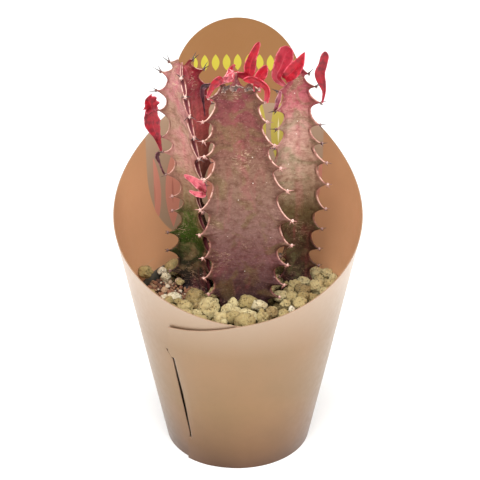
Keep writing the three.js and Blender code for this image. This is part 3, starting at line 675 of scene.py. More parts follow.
def pumice():
    """Dry pitted stone: each stone has its own tone, from brown over olive and cream to greyish white."""
    finish = Finish("dry_pumice", Roughness=0.95)
    base = finish.ramp(finish.mark("tone"), [
        (0, "7c6442"), (0.3, "8c7b4c"), (0.6, "a69566"), (0.85, "b8ab80"), (1, "d0c7b0"),
    ])
    cloud = finish.rise(finish.noise(2.4, 5), 0.4, 0.7)
    base = finish.tint(finish.sum("MULTIPLY", cloud, 0.4), base, "a98f5c")
    crust = finish.rise(finish.noise(0.8, 4), 0.52, 0.68)
    base = finish.tint(finish.sum("MULTIPLY", crust, 0.35), base, "8a744a")
    # Painted shade: the pits are coloured dark, as the shade inside the holes.
    pits = finish.rise(finish.cells(1.3), 0.36, 0.16)
    pits = finish.sum("MULTIPLY", pits, finish.rise(finish.noise(2, 2), 0.42, 0.56))
    base = finish.tint(finish.sum("MULTIPLY", pits, 0.65), base, "5f4d30")
    # Painted highlights: pale specks on the lumps.
    speck = finish.rise(finish.noise(0.4, 2), 0.6, 0.7)
    base = finish.tint(finish.sum("MULTIPLY", speck, 0.35), base, "e6dcc0")
    relief = finish.sum("SUBTRACT", finish.noise(0.8, 6), finish.sum("MULTIPLY", pits, 0.9))
    return finish.done(base, normal=finish.bump(relief, 0.6, 1))


def red_grit():
    finish = Finish("red_brown_grit", Roughness=0.92)
    base = finish.ramp(finish.mark("tone"), [
        (0, "483026"), (0.25, "744c38"), (0.5, "926448"), (0.75, "aa8664"), (1, "d4c8b0"),
    ])
    dark = finish.rise(finish.noise(0.9, 4), 0.45, 0.75)
    base = finish.tint(finish.sum("MULTIPLY", dark, 0.6), base, "5f4030")
    return finish.done(base, normal=finish.bump(finish.noise(0.5, 4), 0.3))


def skin_tones(finish, left_face, other_faces, streak, mottle):
    """Colours up the stem, with a rosy streak up the middle of each face, mottles and rosy clouds."""
    left = finish.mark("left_face")
    # The face that looks left takes the lit colours and the other faces darker ones, which are partly
    # painted shade.
    base = finish.tint(left, finish.up_ramp(70, 200, other_faces), finish.up_ramp(70, 200, left_face))
    middle = finish.rise(finish.mark("across"), 0.3, 0.02)
    middle = finish.sum("MULTIPLY", middle, finish.rise(finish.noise(9, 3), 0.3, 0.65))
    middle = finish.sum("MULTIPLY", middle, finish.rise(finish.axis("Z"), 120 * MM, 175 * MM))
    base = finish.tint(finish.sum("MULTIPLY", middle, 0.55), base, streak)
    blotch = finish.rise(finish.noise(11, 4, distortion=1.2), 0.46, 0.66)
    blotch = finish.sum("MULTIPLY", blotch, finish.rise(left, 0, 1, 0.15, 0.55))
    base = finish.tint(blotch, base, mottle)
    rosy = finish.noise(7, 4, place=finish.stretched(1, 1, 0.28), distortion=0.8)
    return finish.tint(finish.sum("MULTIPLY", finish.rise(rosy, 0.54, 0.74), 0.25), base, streak)


def skin_shades(finish, base):
    """Darker clouds, level bands and grains."""
    cloud = finish.rise(finish.noise(3, 5), 0.42, 0.7)
    base = finish.tint(finish.sum("MULTIPLY", cloud, 0.5), base, "b98d80", "MULTIPLY")
    level = finish.stretched(1, 1, 2.6)
    bands = finish.rise(finish.noise(5, 4, place=level, distortion=1.4), 0.44, 0.7)
    base = finish.tint(finish.sum("MULTIPLY", bands, 0.4), base, "ab9078", "MULTIPLY")
    grains = finish.rise(finish.noise(1.1, 4), 0.45, 0.7)
    return finish.tint(finish.sum("MULTIPLY", grains, 0.25), base, "ab8078", "MULTIPLY")


def skin_wear(finish, base):
    """Pale specks, thin corky wrinkles across the stem and a few white flecks."""
    pale = finish.rise(finish.noise(0.9, 4), 0.56, 0.74)
    base = finish.tint(finish.sum("MULTIPLY", pale, 0.22), base, "c8a090")
    contour = finish.noise(5, 2, place=finish.stretched(1, 1, 2.6), distortion=0.6)
    contour = finish.sum("ABSOLUTE", finish.sum("SUBTRACT", contour, 0.5))
    wrinkle = finish.rise(contour, 0.02, 0.004)
    wrinkle = finish.sum("MULTIPLY", wrinkle, finish.rise(finish.noise(13, 2), 0.5, 0.62))
    base = finish.tint(finish.sum("MULTIPLY", wrinkle, 0.55), base, "c8a98c")
    fleck = finish.rise(finish.cells(5.5), 0.06, 0.03)
    return finish.tint(finish.sum("MULTIPLY", fleck, 0.9), base, "efe4d8")


def stem_skin(name, left_face, other_faces, streak, mottle, painted_shade_from_x):
    """Waxy skin, with its colours up the face that looks left and up the others, and painted shade from some
    x on.
    """
    finish = Finish(name, Roughness=0.55, Specular_IOR_Level=0.25)
    base = skin_tones(finish, left_face, other_faces, streak, mottle)
    base = skin_wear(finish, skin_shades(finish, base))
    # Painted shade: the stem darkens towards its right side.
    right_side_shade = finish.rise(finish.axis("X"), painted_shade_from_x * MM, (painted_shade_from_x + 7) * MM)
    base = finish.tint(finish.sum("MULTIPLY", right_side_shade, 0.5), base, "a4886c", "MULTIPLY")
    # Painted shade: each face darkens towards its rib edges, where it turns away.
    flank = finish.rise(finish.mark("across"), 0.74, 0.98)
    base = finish.tint(finish.sum("MULTIPLY", flank, 0.4), base, "9a5a58", "MULTIPLY")
    base = finish.tint(finish.mark("groove"), base, "5c222a")
    line = finish.sum("MULTIPLY", finish.mark("edge"), finish.rise(finish.noise(2.2, 3), 0.3, 0.55, 0.35, 1))
    horn = finish.ramp(line, [(0.25, "a4605a"), (0.5, "c89080"), (0.85, "e6c0b0")])
    base = finish.tint(line, base, horn)
    relief = finish.sum("ADD", finish.noise(0.6, 3), finish.sum("MULTIPLY", finish.noise(2.6, 3), 1.5))
    upright = finish.noise(1.4, 3, place=finish.stretched(1, 1, 0.28))
    relief = finish.sum("ADD", relief, finish.sum("MULTIPLY", upright, 0.8))
    rough = finish.rise(finish.noise(2, 3), 0.3, 0.7, 0.44, 0.6)
    return finish.done(base, rough, finish.bump(relief, 0.2, 0.7))


def spine_horn():
    """From a pinkish young spine to a black old one, palest at the tooth."""
    finish = Finish("spine_horn", Roughness=0.42)
    reach = finish.mark("reach")
    young = finish.ramp(reach, [(0, "e2b5a6"), (0.5, "c98f86"), (1, "8a5450")])
    old = finish.ramp(reach, [(0, "7a4c44"), (0.25, "43302d"), (0.8, "2a2322"), (1, "4a4038")])
    base = finish.tint(finish.mark("age"), young, old)
    return finish.done(base, normal=finish.bump(finish.noise(0.4, 2), 0.05))


def tooth_horn():
    finish = Finish("tooth_horn", Roughness=0.48)
    worn = finish.rise(finish.noise(0.7, 3), 0.4, 0.65)
    young = finish.tint(worn, "f0cfc2", "b0736a")
    old = finish.tint(worn, "6a4640", "33262a")
    base = finish.tint(finish.mark("age"), young, old)
    return finish.done(base, normal=finish.bump(finish.noise(0.4, 2), 0.06))


def leaf_skin(name, base, dark, rim, vein):
    finish = Finish(name, Roughness=0.42, Specular_IOR_Level=0.35, Coat_Weight=0.08, Coat_Roughness=0.25)
    across = finish.mark("blade_across")
    length = finish.mark("blade_length")
    aside = finish.sum("ABSOLUTE", across)
    paint = finish.tint(finish.rise(finish.noise(2.6, 4), 0.38, 0.66), base, dark)
    ribs = finish.sum("SUBTRACT", finish.sum("MULTIPLY", length, 7), finish.sum("MULTIPLY", aside, 1.9))
    ribs = finish.sum("ABSOLUTE", finish.sum("SUBTRACT", finish.sum("FRACT", ribs), 0.5))
    ribs = finish.sum("MULTIPLY", finish.rise(ribs, 0.16, 0.02), finish.rise(finish.noise(1.6, 3), 0.4, 0.7))
    paint = finish.tint(finish.sum("MULTIPLY", ribs, 0.12), paint, vein)
    midrib = finish.sum("MULTIPLY", finish.rise(aside, 0.1, 0.02), finish.rise(length, 0.9, 0.4))
    paint = finish.tint(finish.sum("MULTIPLY", midrib, 0.35), paint, vein)
    curl = finish.sum("MULTIPLY", finish.rise(aside, 0.78, 0.98), finish.rise(finish.noise(2, 2), 0.35, 0.6))
    paint = finish.tint(finish.sum("MULTIPLY", curl, 0.7), paint, rim)
    paint = finish.tint(finish.sum("MULTIPLY", finish.rise(length, 0.2, 0), 0.5), paint, rim)
    paint = finish.tint(finish.sum("MULTIPLY", finish.rise(length, 0.93, 1), 0.6), paint, dark)
    relief = finish.sum("ADD", finish.sum("MULTIPLY", ribs, 0.5), finish.noise(0.9, 3))
    return finish.done(paint, normal=finish.bump(relief, 0.12, 0.6))


# ---------------------------------------------------------------- card sleeve

CONE_SINE = SLEEVE["taper"] / math.hypot(1, SLEEVE["taper"])
CONE_COSINE = 1 / math.hypot(1, SLEEVE["taper"])
APEX_TO_FOOT = SLEEVE["foot_radius"] / CONE_SINE  # up the slope
SLIT_RIGHT, SLIT_LEFT = SLEEVE["slit"]
FULL_TURN = 360
BACK = -180  # azimuth of the back, where the tab is
EAR_BLUNT = 0.5  # height of the blunt end of the ear's corner


def rim_height(azimuth):
    """Height of the rim at an azimuth of the unrolled sheet, 0 down to -360 being once round."""
    from_front = -azimuth if azimuth > BACK else azimuth + FULL_TURN
    rise = SLEEVE["front_height"] + SLEEVE["rim_rise"] * from_front
    if from_front > 0:
        return rise + SLEEVE["rim_sweep"] * from_front ** 2
    to_end = min(1, from_front / (SLEEVE["outer_end"] + FULL_TURN))
    return rise - SLEEVE["flap_droop"] * from_front ** 2 - SLEEVE["flap_sag"] * math.sin(math.pi * to_end)


def sheet_top(azimuth):
    """The rim, and the slanting end of the ear that the outer end has above its tongue."""
    shoulder = SLEEVE["ear_shoulder"]
    past = max(0, (shoulder - azimuth) / (shoulder - SLEEVE["ear_end"]))
    return mix(rim_height(max(azimuth, shoulder)), SLEEVE["ear_low"] + EAR_BLUNT, past)


def near_slit(azimuth, reach):
    """1 at the slit, in any layer of the roll, easing to 0 at a reach of degrees from it."""
    aside = (azimuth - (SLIT_LEFT + SLIT_RIGHT) / 2 + FULL_TURN / 2) % FULL_TURN - FULL_TURN / 2
    return 1 - smooth(abs(aside) / reach)


def wound_out(azimuth, height, left_stands_off=True):
    """How far out the sheet has wound, with its loose last stretch and the tongue's pull at the slit."""
    loose = ROLL["stands_off"] * smooth((ROLL["stands_off_from"] - azimuth) / ROLL["stands_off_over"])
    halfway = smooth(1 - abs(height - ROLL["pull_height"]) / ROLL["pull_spread"])
    left_of_slit = left_stands_off and BACK < azimuth <= SLIT_LEFT
    pull = ROLL["pull_left" if left_of_slit else "pull"] * near_slit(azimuth, ROLL["pull_reach"])
    if azimuth < -FULL_TURN:
        pull += ROLL["nip"] * near_slit(azimuth, ROLL["nip_reach"])
    return SLEEVE["layer_pitch"] * (SLEEVE["inner_end"] - azimuth) / FULL_TURN + loose - pull * halfway


def on_card(azimuth, height, lift):
    radius = SLEEVE["foot_radius"] + SLEEVE["taper"] * height + lift
    stray = along(CUT_STRAYS, height) + (along(SLIT_TAIL, height) if azimuth > BACK else 0)
    return outwards(azimuth + stray * near_slit(azimuth, 10)) * radius + UP * height


def flat_place(azimuth, height):
    """Where a point of the card lies on the flat sheet, from the foot of its back upwards."""
    slope = APEX_TO_FOOT + height / CONE_COSINE
    angle = math.radians(azimuth - BACK) * CONE_SINE
    return slope * math.sin(angle), slope * math.cos(angle) - APEX_TO_FOOT


def top_columns():
    """Azimuth and top height of every column of the sheet, from the ear to its inner end."""
    far = APEX_TO_FOOT + SLEEVE["tab_centre"]
    tab_edge = math.degrees(math.atan2(SLEEVE["tab_radius"], far) / CONE_SINE)
    past_tab = 0.05

    def run(*knots):
        azimuths = [a for first, last, steps in knots for a in spread(first, last, steps)[:-1]]
        return [(a, sheet_top(a)) for a in azimuths + [knots[-1][1]]]

    columns = run(
        (SLEEVE["ear_end"], SLEEVE["ear_shoulder"], 6),
        (SLEEVE["ear_shoulder"], SLEEVE["outer_end"], 1),
        (SLEEVE["outer_end"], SLIT_RIGHT - FULL_TURN, 4),
        (SLIT_RIGHT - FULL_TURN, BACK - tab_edge - past_tab, 120),
    )
    for turn in spread(90, -90, 60):
        across = SLEEVE["tab_radius"] * math.sin(math.radians(turn))
        slope = far + SLEEVE["tab_radius"] * math.cos(math.radians(turn))
        azimuth = BACK - math.degrees(math.atan2(across, slope) / CONE_SINE)
        columns.append((azimuth, (math.hypot(across, slope) - APEX_TO_FOOT) * CONE_COSINE))
    return columns + run(
        (BACK + tab_edge + past_tab, SLIT_LEFT, 90),
        (SLIT_LEFT, SLIT_RIGHT, 4),
        (SLIT_RIGHT, SLEEVE["inner_end"], 26),
    )


BANDS = (8, 20, 16)  # rows below the slit, beside it and above it


def band_height(azimuth, top, row):
    below, above = SLEEVE["slit_play"] if azimuth > BACK else (0, 0)
    low = SLEEVE["tongue_low"] - below
    high = SLEEVE["tongue_high"] + above
    if azimuth < SLEEVE["outer_end"]:  # the ear's foot slants up to its corner
        past = (SLEEVE["outer_end"] - azimuth) / (SLEEVE["outer_end"] - SLEEVE["ear_end"])
        high = mix(high, SLEEVE["ear_low"], past)
    if row <= BANDS[0]:
        return mix(0, low, row / BANDS[0])
    if row <= BANDS[0] + BANDS[1]:
        return mix(low, high, (row - BANDS[0]) / BANDS[1])
    return mix(high, top, (row - BANDS[0] - BANDS[1]) / BANDS[2])


def add_sheet(bm):
    """The rolled sheet, with the window of its slit, and what the tongue and the ear leave free cut out."""
    columns = top_columns()

    def place(column, row):
        azimuth, top = columns[column]
        height = band_height(azimuth, top, row)
        return on_card(azimuth, height, wound_out(azimuth, height))

    def flat(axis):
        return lambda column, row: flat_place(columns[column][0], band_height(*columns[column], row))[axis]

    made = add_grid(
        bm, len(columns) - 1, sum(BANDS), place,
        flat_x=flat(0), flat_y=flat(1), fold=lambda column, row: 0,
        unrolled=lambda column, row: columns[column][0], row=lambda column, row: row,
    )
    unrolled = bm.verts.layers.float["unrolled"]
    row = bm.verts.layers.float["row"]
    cut = []
    for face in faces_of(made):
        azimuth = sum(vert[unrolled] for vert in face.verts) / 4
        up = sum(vert[row] for vert in face.verts) / 4
        beside = BANDS[0] < up < BANDS[0] + BANDS[1]
        window = SLIT_LEFT < azimuth < SLIT_RIGHT or azimuth < SLIT_RIGHT - FULL_TURN
        below_ear = azimuth < SLEEVE["outer_end"] and up < BANDS[0]
        if (beside and window) or below_ear:
            cut.append(face)
    bmesh.ops.delete(bm, geom=cut, context="FACES")


def add_tongue(bm):
    """The tongue dives through the slit and lies against the wall's inside."""
    start = SLIT_RIGHT - FULL_TURN
    end = start - SLEEVE["tongue_reach"]
    azimuths = spread(end, SLIT_LEFT - FULL_TURN, 14)[:-1] + spread(SLIT_LEFT - FULL_TURN, start, 8)

    def spot(column, row):
        azimuth = azimuths[column]
        share = (start - azimuth) / SLEEVE["tongue_reach"]
        high = SLEEVE["tongue_high"] - SLEEVE["tongue_slant"] * share ** 3
        return azimuth, mix(SLEEVE["tongue_low"], high, row / BANDS[1])

    def into_slit(azimuth):
        return (start - azimuth) / (SLIT_RIGHT - SLIT_LEFT)

    def place(column, row):
        azimuth, height = spot(column, row)
        dive = smooth(into_slit(azimuth) / 1.2)
        inside = wound_out(azimuth + FULL_TURN, height, False) - SLEEVE["layer_pitch"] + 0.05
        return on_card(azimuth, height, mix(wound_out(start, height), inside, dive))

    add_grid(
        bm, len(azimuths) - 1, BANDS[1], place,
        flat_x=lambda column, row: flat_place(*spot(column, row))[0],
        flat_y=lambda column, row: flat_place(*spot(column, row))[1],
        # fold marks where the tongue dives under the slit; the outside finish paints it dark there as shade.
        fold=lambda column, row: smooth(into_slit(azimuths[column])),
    )


PRINTED = 0.7  # a face that looks less than this outwards or inwards is the cut edge


def make_sleeve():
    bm = bmesh.new()
    add_sheet(bm)
    add_tongue(bm)
    bmesh.ops.remove_doubles(bm, verts=bm.verts, dist=0.01 * MM)
    bm.normal_update()
    bmesh.ops.solidify(bm, geom=bm.faces[:], thickness=SLEEVE["card"] * MM)
    bm.normal_update()
    for face in bm.faces:
        middle = face.calc_center_median()
        facing = face.normal.dot(Vector((middle.x, middle.y, 0)).normalized())
        face.material_index = 0 if facing > PRINTED else 1 if facing < -PRINTED else 2
    keep_sharp(bm, 35)
    for name in ("unrolled", "row"):
        bm.verts.layers.float.remove(bm.verts.layers.float[name])
    return add_piece("rolled_card", bm, [card_outside(), card_inside(), card_edge()], "card", "card_sleeve")


# ---------------------------------------------------------------- pot and what fills it

POT_SIDES = 112


def pot_radius(height):
    return POT["foot_radius"] + POT["taper"] * (height - POT["heel"])


def lip_radius(height):
    return SLEEVE["foot_radius"] + SLEEVE["taper"] * height - POT["lip_play"]


def make_pot():
    """A moulded wall that is spun round, and a floor with drain holes."""
    low = POT["height"] - POT["lip"]
    top = POT["height"]
    floor = POT["floor"]
    wall = POT["wall"]
    foot = POT["foot_radius"]
    profile = [
        (POT["floor_radius"], 0), (foot - 1.6, 0), (foot - 0.4, 0.5), (foot, POT["heel"]),
        (pot_radius(low - 0.6), low - 0.6), (lip_radius(low) - 0.5, low - 0.2), (lip_radius(low), low + 0.4),
        (lip_radius(top - 0.6), top - 0.6), (lip_radius(top) - 0.3, top - 0.1), (lip_radius(top) - 0.8, top),
        (lip_radius(top) - 1.2, top - 0.3), (lip_radius(low) - 1.3, low + 1.2),
        (pot_radius(low) - wall, low + 0.4), (pot_radius(floor) - wall, floor), (POT["floor_radius"], floor),
    ]
    bm = bmesh.new()
    rail = [bm.verts.new(Vector((radius, 0, height)) * MM) for radius, height in profile]
    edges = [bm.edges.new(pair) for pair in zip(rail, rail[1:])]
    bmesh.ops.spin(
        bm, geom=rail + edges, cent=(0, 0, 0), axis=UP, dvec=(0, 0, 0), angle=2 * math.pi,
        steps=POT_SIDES, use_merge=True,
    )
    bmesh.ops.remove_doubles(bm, verts=bm.verts, dist=0.01 * MM)
    add_pot_floor(bm)
    bmesh.ops.remove_doubles(bm, verts=bm.verts, dist=0.01 * MM)
    bmesh.ops.recalc_face_normals(bm, faces=bm.faces)
    keep_sharp(bm, 50)
    return add_piece("moulded_pot", bm, [pot_plastic()], "pot", "nursery_pot")


def add_pot_floor(bm):
    """A disc with round holes: its rings are filled flat, and then given their thickness."""
    rings = [(0, 0, POT["floor_radius"], POT_SIDES)]
    for index in range(DRAINS["count"]):
        angle = math.radians(FULL_TURN / DRAINS["count"] * (index + 0.5))
        x, y = DRAINS["circle"] * math.cos(angle), DRAINS["circle"] * math.sin(angle)
        rings.append((x, y, DRAINS["radius"], DRAINS["sides"]))
    edges = []
    for x, y, size, segments in rings:
        spot = Matrix.Translation(Vector((x, y, 0)) * MM)
        ring = bmesh.ops.create_circle(bm, segments=segments, radius=size * MM, matrix=spot)["verts"]
        edges += list({edge for vert in ring for edge in vert.link_edges})
    filled = bmesh.ops.triangle_fill(bm, edges=edges, use_beauty=True)["geom"]
    faces = [part for part in filled if isinstance(part, bmesh.types.BMFace)]
    raised = bmesh.ops.extrude_face_region(bm, geom=faces, use_keep_orig=True)["geom"]
    verts = [part for part in raised if isinstance(part, bmesh.types.BMVert)]
    bmesh.ops.translate(bm, verts=verts, vec=UP * POT["floor"] * MM)


def in_grit(x, y, grow=0):
    turn = math.radians(-GRIT_PATCH["turn"])
    dx, dy = x - GRIT_PATCH["x"], y - GRIT_PATCH["y"]
    u = (dx * math.cos(turn) - dy * math.sin(turn)) / (GRIT_PATCH["long"] + grow)
    v = (dx * math.sin(turn) + dy * math.cos(turn)) / (GRIT_PATCH["short"] + grow)
    return u * u + v * v < 1


def beside_stems(x, y, size):
    """How far a stone would stand clear of the nearest stem's foot."""
    height = GROUND + 8  # where the stones lie

    def clear_of(spec):
        offset = Vector((x - along(spec["axis"], height), y - along(spec["axis"], height, 2), 0))
        turn = along(spec["turn"], height)
        toward = max(offset.normalized().dot(outwards(turn + RIB_STEP * rib)) for rib in range(RIBS))
        reach = along(spec["bay"], height) * mix(0.45, 1.0, max(0, (toward - 0.5) / 0.5) ** 2)
        return offset.length - reach - size

    return min(clear_of(spec) for spec in STEMS.values())


def add_stone(bm, place, size, tone, draw, detail):
    """One knobbly stone: a ball, pushed in and out by noise, then stretched and turned."""
    made = bmesh.ops.create_icosphere(bm, subdivisions=detail, radius=1)["verts"]
    seed = Vector((draw.uniform(-50, 50), draw.uniform(-50, 50), draw.uniform(-50, 50)))
    stretch = Vector((draw.uniform(0.85, 1.2), draw.uniform(0.85, 1.1), draw.uniform(0.8, 1)))
    turn = Euler([draw.uniform(0, 6.3) for _ in range(3)]).to_matrix()
    mark = bm.verts.layers.float["tone"]
    for vert in made:
        lump = 0.3 * noise.noise(vert.co * 1.3 + seed) + 0.16 * noise.noise(vert.co * 2.9 + seed)
        knob = 0.1 * noise.noise(vert.co * 5.5 + seed)
        shaped = turn @ (vert.co * (1 + lump + knob))
        vert.co = (place + Vector([a * b for a, b in zip(shaped, stretch)]) * size) * MM
        vert[mark] = tone


# Knobbly stones settle into each other's hollows: shares of their radii at which they rest.
PACKING = {"on_floor": 0.75, "reach": 0.86, "upwards": 0.8}


def heap(stones, x, y, size, floor):
    """Height at which a stone comes to rest on the floor or on the stones below it."""
    height = floor + PACKING["on_floor"] * size
    for spot, radius in stones:
        aside = math.hypot(spot.x - x, spot.y - y)
        reach = PACKING["reach"] * (radius + size)
        if aside < reach:
            height = max(height, spot.z + math.sqrt(reach ** 2 - aside ** 2) * PACKING["upwards"])
    return height


def free_of_shown(x, y, size):
    return all(math.hypot(x - stone[0], y - stone[1]) > 0.8 * (size + stone[3]) for stone in SHOWN_STONES)


def make_pumice():
    """A bed of stones, the ones that show, and as many more on top as the pot's mouth takes."""
    draw = random.Random(11)
    bm = bmesh.new()
    bm.verts.layers.float.new("tone")
    stones = []

    def scatter(tries, sizes, highest, margin, tones, detail, fits):
        for _ in range(tries):
            size = draw.uniform(*sizes)
            radius = (MOUTH - margin * size) * math.sqrt(draw.random())
            angle = draw.uniform(0, 2 * math.pi)
            x, y = radius * math.cos(angle), radius * math.sin(angle)
            z = heap(stones, x, y, size, GROUND)
            if z > highest or not fits(x, y, size) or in_grit(x, y, size * 0.7):
                continue
            if beside_stems(x, y, size * 0.6) >= 0:
                stones.append((Vector((x, y, z)), size))
                add_stone(bm, stones[-1][0], size, draw.uniform(*tones), draw, detail)

    scatter(340, (2, 3.2), GROUND + 5.5, 1, (0.1, 0.5), 2, lambda x, y, size: True)
    for x, y, z, size, tone in SHOWN_STONES:
        stones.append((Vector((x, y, z)), size))
        add_stone(bm, stones[-1][0], size, tone, draw, 4)
    scatter(900, (2.6, 5), GROUND + 11, 1, (0.15, 0.95), 3, free_of_shown)
    scatter(500, (1.4, 2.2), GROUND + 10, 1, (0.1, 0.9), 2, free_of_shown)
    return add_piece("pumice_stones", bm, [pumice()], "pumice", "pumice_topdressing")


def make_grit():
    draw = random.Random(5)
    bm = bmesh.new()
    bm.verts.layers.float.new("tone")
    crumbs = []
    for _ in range(2200):
        x = GRIT_PATCH["x"] + draw.uniform(-14, 14)
        y = GRIT_PATCH["y"] + draw.uniform(-14, 14)
        size = draw.choice((0.7, 0.9, 1.2, 1.7))
        z = heap(crumbs, x, y, size, GROUND + 1.5)
        inside = in_grit(x, y, -0.4) and math.hypot(x, y) < MOUTH - size
        if not inside or z > GROUND + 7 or beside_stems(x, y, size * 0.3) < 0:
            continue
        crumbs.append((Vector((x, y, z)), size))
        add_stone(bm, crumbs[-1][0], size, draw.random(), draw, 2 if size > 1.1 else 1)
    return add_piece("grit_crumbs", bm, [red_grit()], "grit", "brown_grit")


# ---------------------------------------------------------------- stems

def scallop(teeth, height, hollow=(0, 0)):
    """How far a rib stands out, 1 at a tooth and 0 deep in the bay above it, and the way up that bay."""
    reached = height + 0.001
    above = next((tooth for tooth in teeth if tooth > reached), teeth[-1] + TOOTH_STEP)
    below = max((tooth for tooth in teeth if tooth <= reached), default=above - TOOTH_STEP)
    way = max(0, (height - below) / (above - below))
    upper = way < BAY_FLOOR
    aside = (way - BAY_FLOOR) / (BAY_FLOOR if upper else 1 - BAY_FLOOR)
    return mix(aside * aside, 1 - math.sqrt(max(0, 1 - aside * aside)), hollow[0 if upper else 1]), way


def crown(spec, height):
    """0 below the stem's crown, and 1 at its top."""
    return min(1, max(0, (height - spec["top"]) / CROWN["height"] + 1))


def crown_dip(spec, height, share):
    """How far a point of the crown sinks: the growing point lies lower than the ribs' tips."""
    return spec["dip"] * crown(spec, height) ** 2 * max(0, 1 - share)


def rib_azimuth(spec, rib, height):
    lean = spec["lean"][rib] * smooth((height - 84) / 40)
    return along(spec["turn"], height) + RIB_STEP * rib + lean


def rib_reach(spec, rib, height):
    """Radius in the bay, radius at this height, and how much of a tooth stands there."""
    stands = smooth((height - 72) / 8) * mix(1, CROWN["tooth"], crown(spec, height))
    bay = along(spec["bay"], height) - BAY_DEPTH * stands
    deeper = min(along(spec["deeper"][rib], height), 0.15 * bay) * stands
    tooth = (spec["tooth"] + BAY_DEPTH) * stands + deeper
    stand, _ = scallop(spec["teeth"][rib], height, spec["hollow"][rib])
    return bay, bay - deeper + tooth * stand, stand


# The crest of a rib, from its middle outwards: fall and breadth in shares of half its width, and the
# pale line and the groove that the skin has there.
GROOVED_CREST = [
    (0.5, 0, 0, 1), (0.4, 0.5, 0.1, 0.9), (-0.04, 1, 1, 0), (0.12, 1.3, 0.9, 0), (0.75, 1.42, 0.05, 0),
]
ROUND_CREST = [(0, 0, 1, 0), (0.12, 0.5, 1, 0), (0.45, 1, 0.75, 0), (1, 1.35, 0.2, 0), (2, 1.6, 0, 0)]
WIDEST_ROUND = 0.8  # a crest whose half is wider than this is grooved
TOOTH_HALF = 0.32  # half the width of a crest where it runs out on a tooth
FACE = [(0.5, 0.225), (0.216, 0.374)]  # a face's section, outwards and sideways in bay radii
SHANK_ANGLES = (0, 8, 16, 24, 32, 40, 50, 60)  # and the same points on the round shank in the soil


def crest_of(spec, rib):
    return GROOVED_CREST if spec["crest"][rib] > WIDEST_ROUND else ROUND_CREST


def half_rib(spec, rib, height):
    """Half of a rib's section from its crest to the middle of the next face, as (outwards, sideways)."""
    bay, tip, stand = rib_reach(spec, rib, height)
    half = mix(spec["crest"][rib], TOOTH_HALF, stand) * min(1, bay / 9)
    ribbed = [(tip - fall * half, breadth * half) for fall, breadth, _, _ in crest_of(spec, rib)]
    foot = max(1.75 * half, 0.085 * bay)
    foot_out = min(mix(tip, 0.9 * bay, 0.8) - 0.8, tip - 2.4 * half)
    ribbed += [(foot_out, foot)] + [(out * bay, aside * bay) for out, aside in FACE]
    round_shank = [
        (bay * math.cos(math.radians(angle)), bay * math.sin(math.radians(angle))) for angle in SHANK_ANGLES
    ]
    blend = smooth((height - GROUND) / 7)
    return [Vector(low).lerp(Vector(high), blend) for low, high in zip(round_shank, ribbed)]


HALF_CUTS = (1, 1, 1, 1, 2, 4, 4)  # columns between each two points of half a rib


def around_stem(halves):
    """What is given for the ribs' halves, crest first, in order round the stem from the middle of a face."""
    there_and_back = [*range(len(HALF_CUTS), 0, -1), *range(len(HALF_CUTS))]
    return [half[index] for half in halves for index in there_and_back]


def section_knots(spec, height):
    """The closed section of a stem at a height, relative to its axis."""
    knots = []
    for rib in range(RIBS):
        azimuth = rib_azimuth(spec, rib, height)
        ahead, aside = outwards(azimuth), outwards(azimuth + 90)
        half = half_rib(spec, rib, height)
        tip = half[0].x
        for step, (out, sideways) in enumerate(around_stem([half])):
            side = -1 if step < len(HALF_CUTS) else 1
            sink = crown_dip(spec, height, math.hypot(out, sideways) / tip)
            knots.append(ahead * out + aside * (side * sideways) - UP * sink)
    return knots


def section_columns():
    """For each column of a stem's mesh, its span between two knots and the share along that span."""
    cuts = (HALF_CUTS[::-1] + HALF_CUTS) * RIBS
    columns = [(span, step / count) for span, count in enumerate(cuts) for step in range(count)]
    return columns + [(len(cuts), 0)]


COLUMNS = section_columns()
SPANS = len(HALF_CUTS) * 2 * RIBS


def skin_marks(spec):
    """Pale line, groove and the way across a face, for every knot of the section."""
    halves = []
    for rib in range(RIBS):
        crest = [(line, groove, 1) for _, _, line, groove in crest_of(spec, rib)]
        halves.append(crest + [(0, 0, 0.88), (0, 0, 0.45), (0, 0, 0)])
    return around_stem(halves)


def section_point(knots, column):
    span, share = COLUMNS[column]
    near = [knots[(span + step) % SPANS] for step in (-1, 0, 1, 2)]
    return spline(near, (1 + share) / 3)


CAP_SHARES = (0.8, 0.55, 0.3, 0)  # rings that close the crown towards the growing point


def stem_rings(spec):
    """Heights of the rings, each with the share of the section's size."""
    rings = [(GROUND - 22.6, 0), (GROUND - 22.6, 1), (GROUND - 10, 1), (GROUND - 2, 1), (GROUND, 1)]
    first = GROUND + 0.8
    rings += [(first + RING_STEP * step, 1) for step in range(int((spec["top"] - first) / RING_STEP) + 1)]
    return rings + [(spec["top"], share) for share in CAP_SHARES]


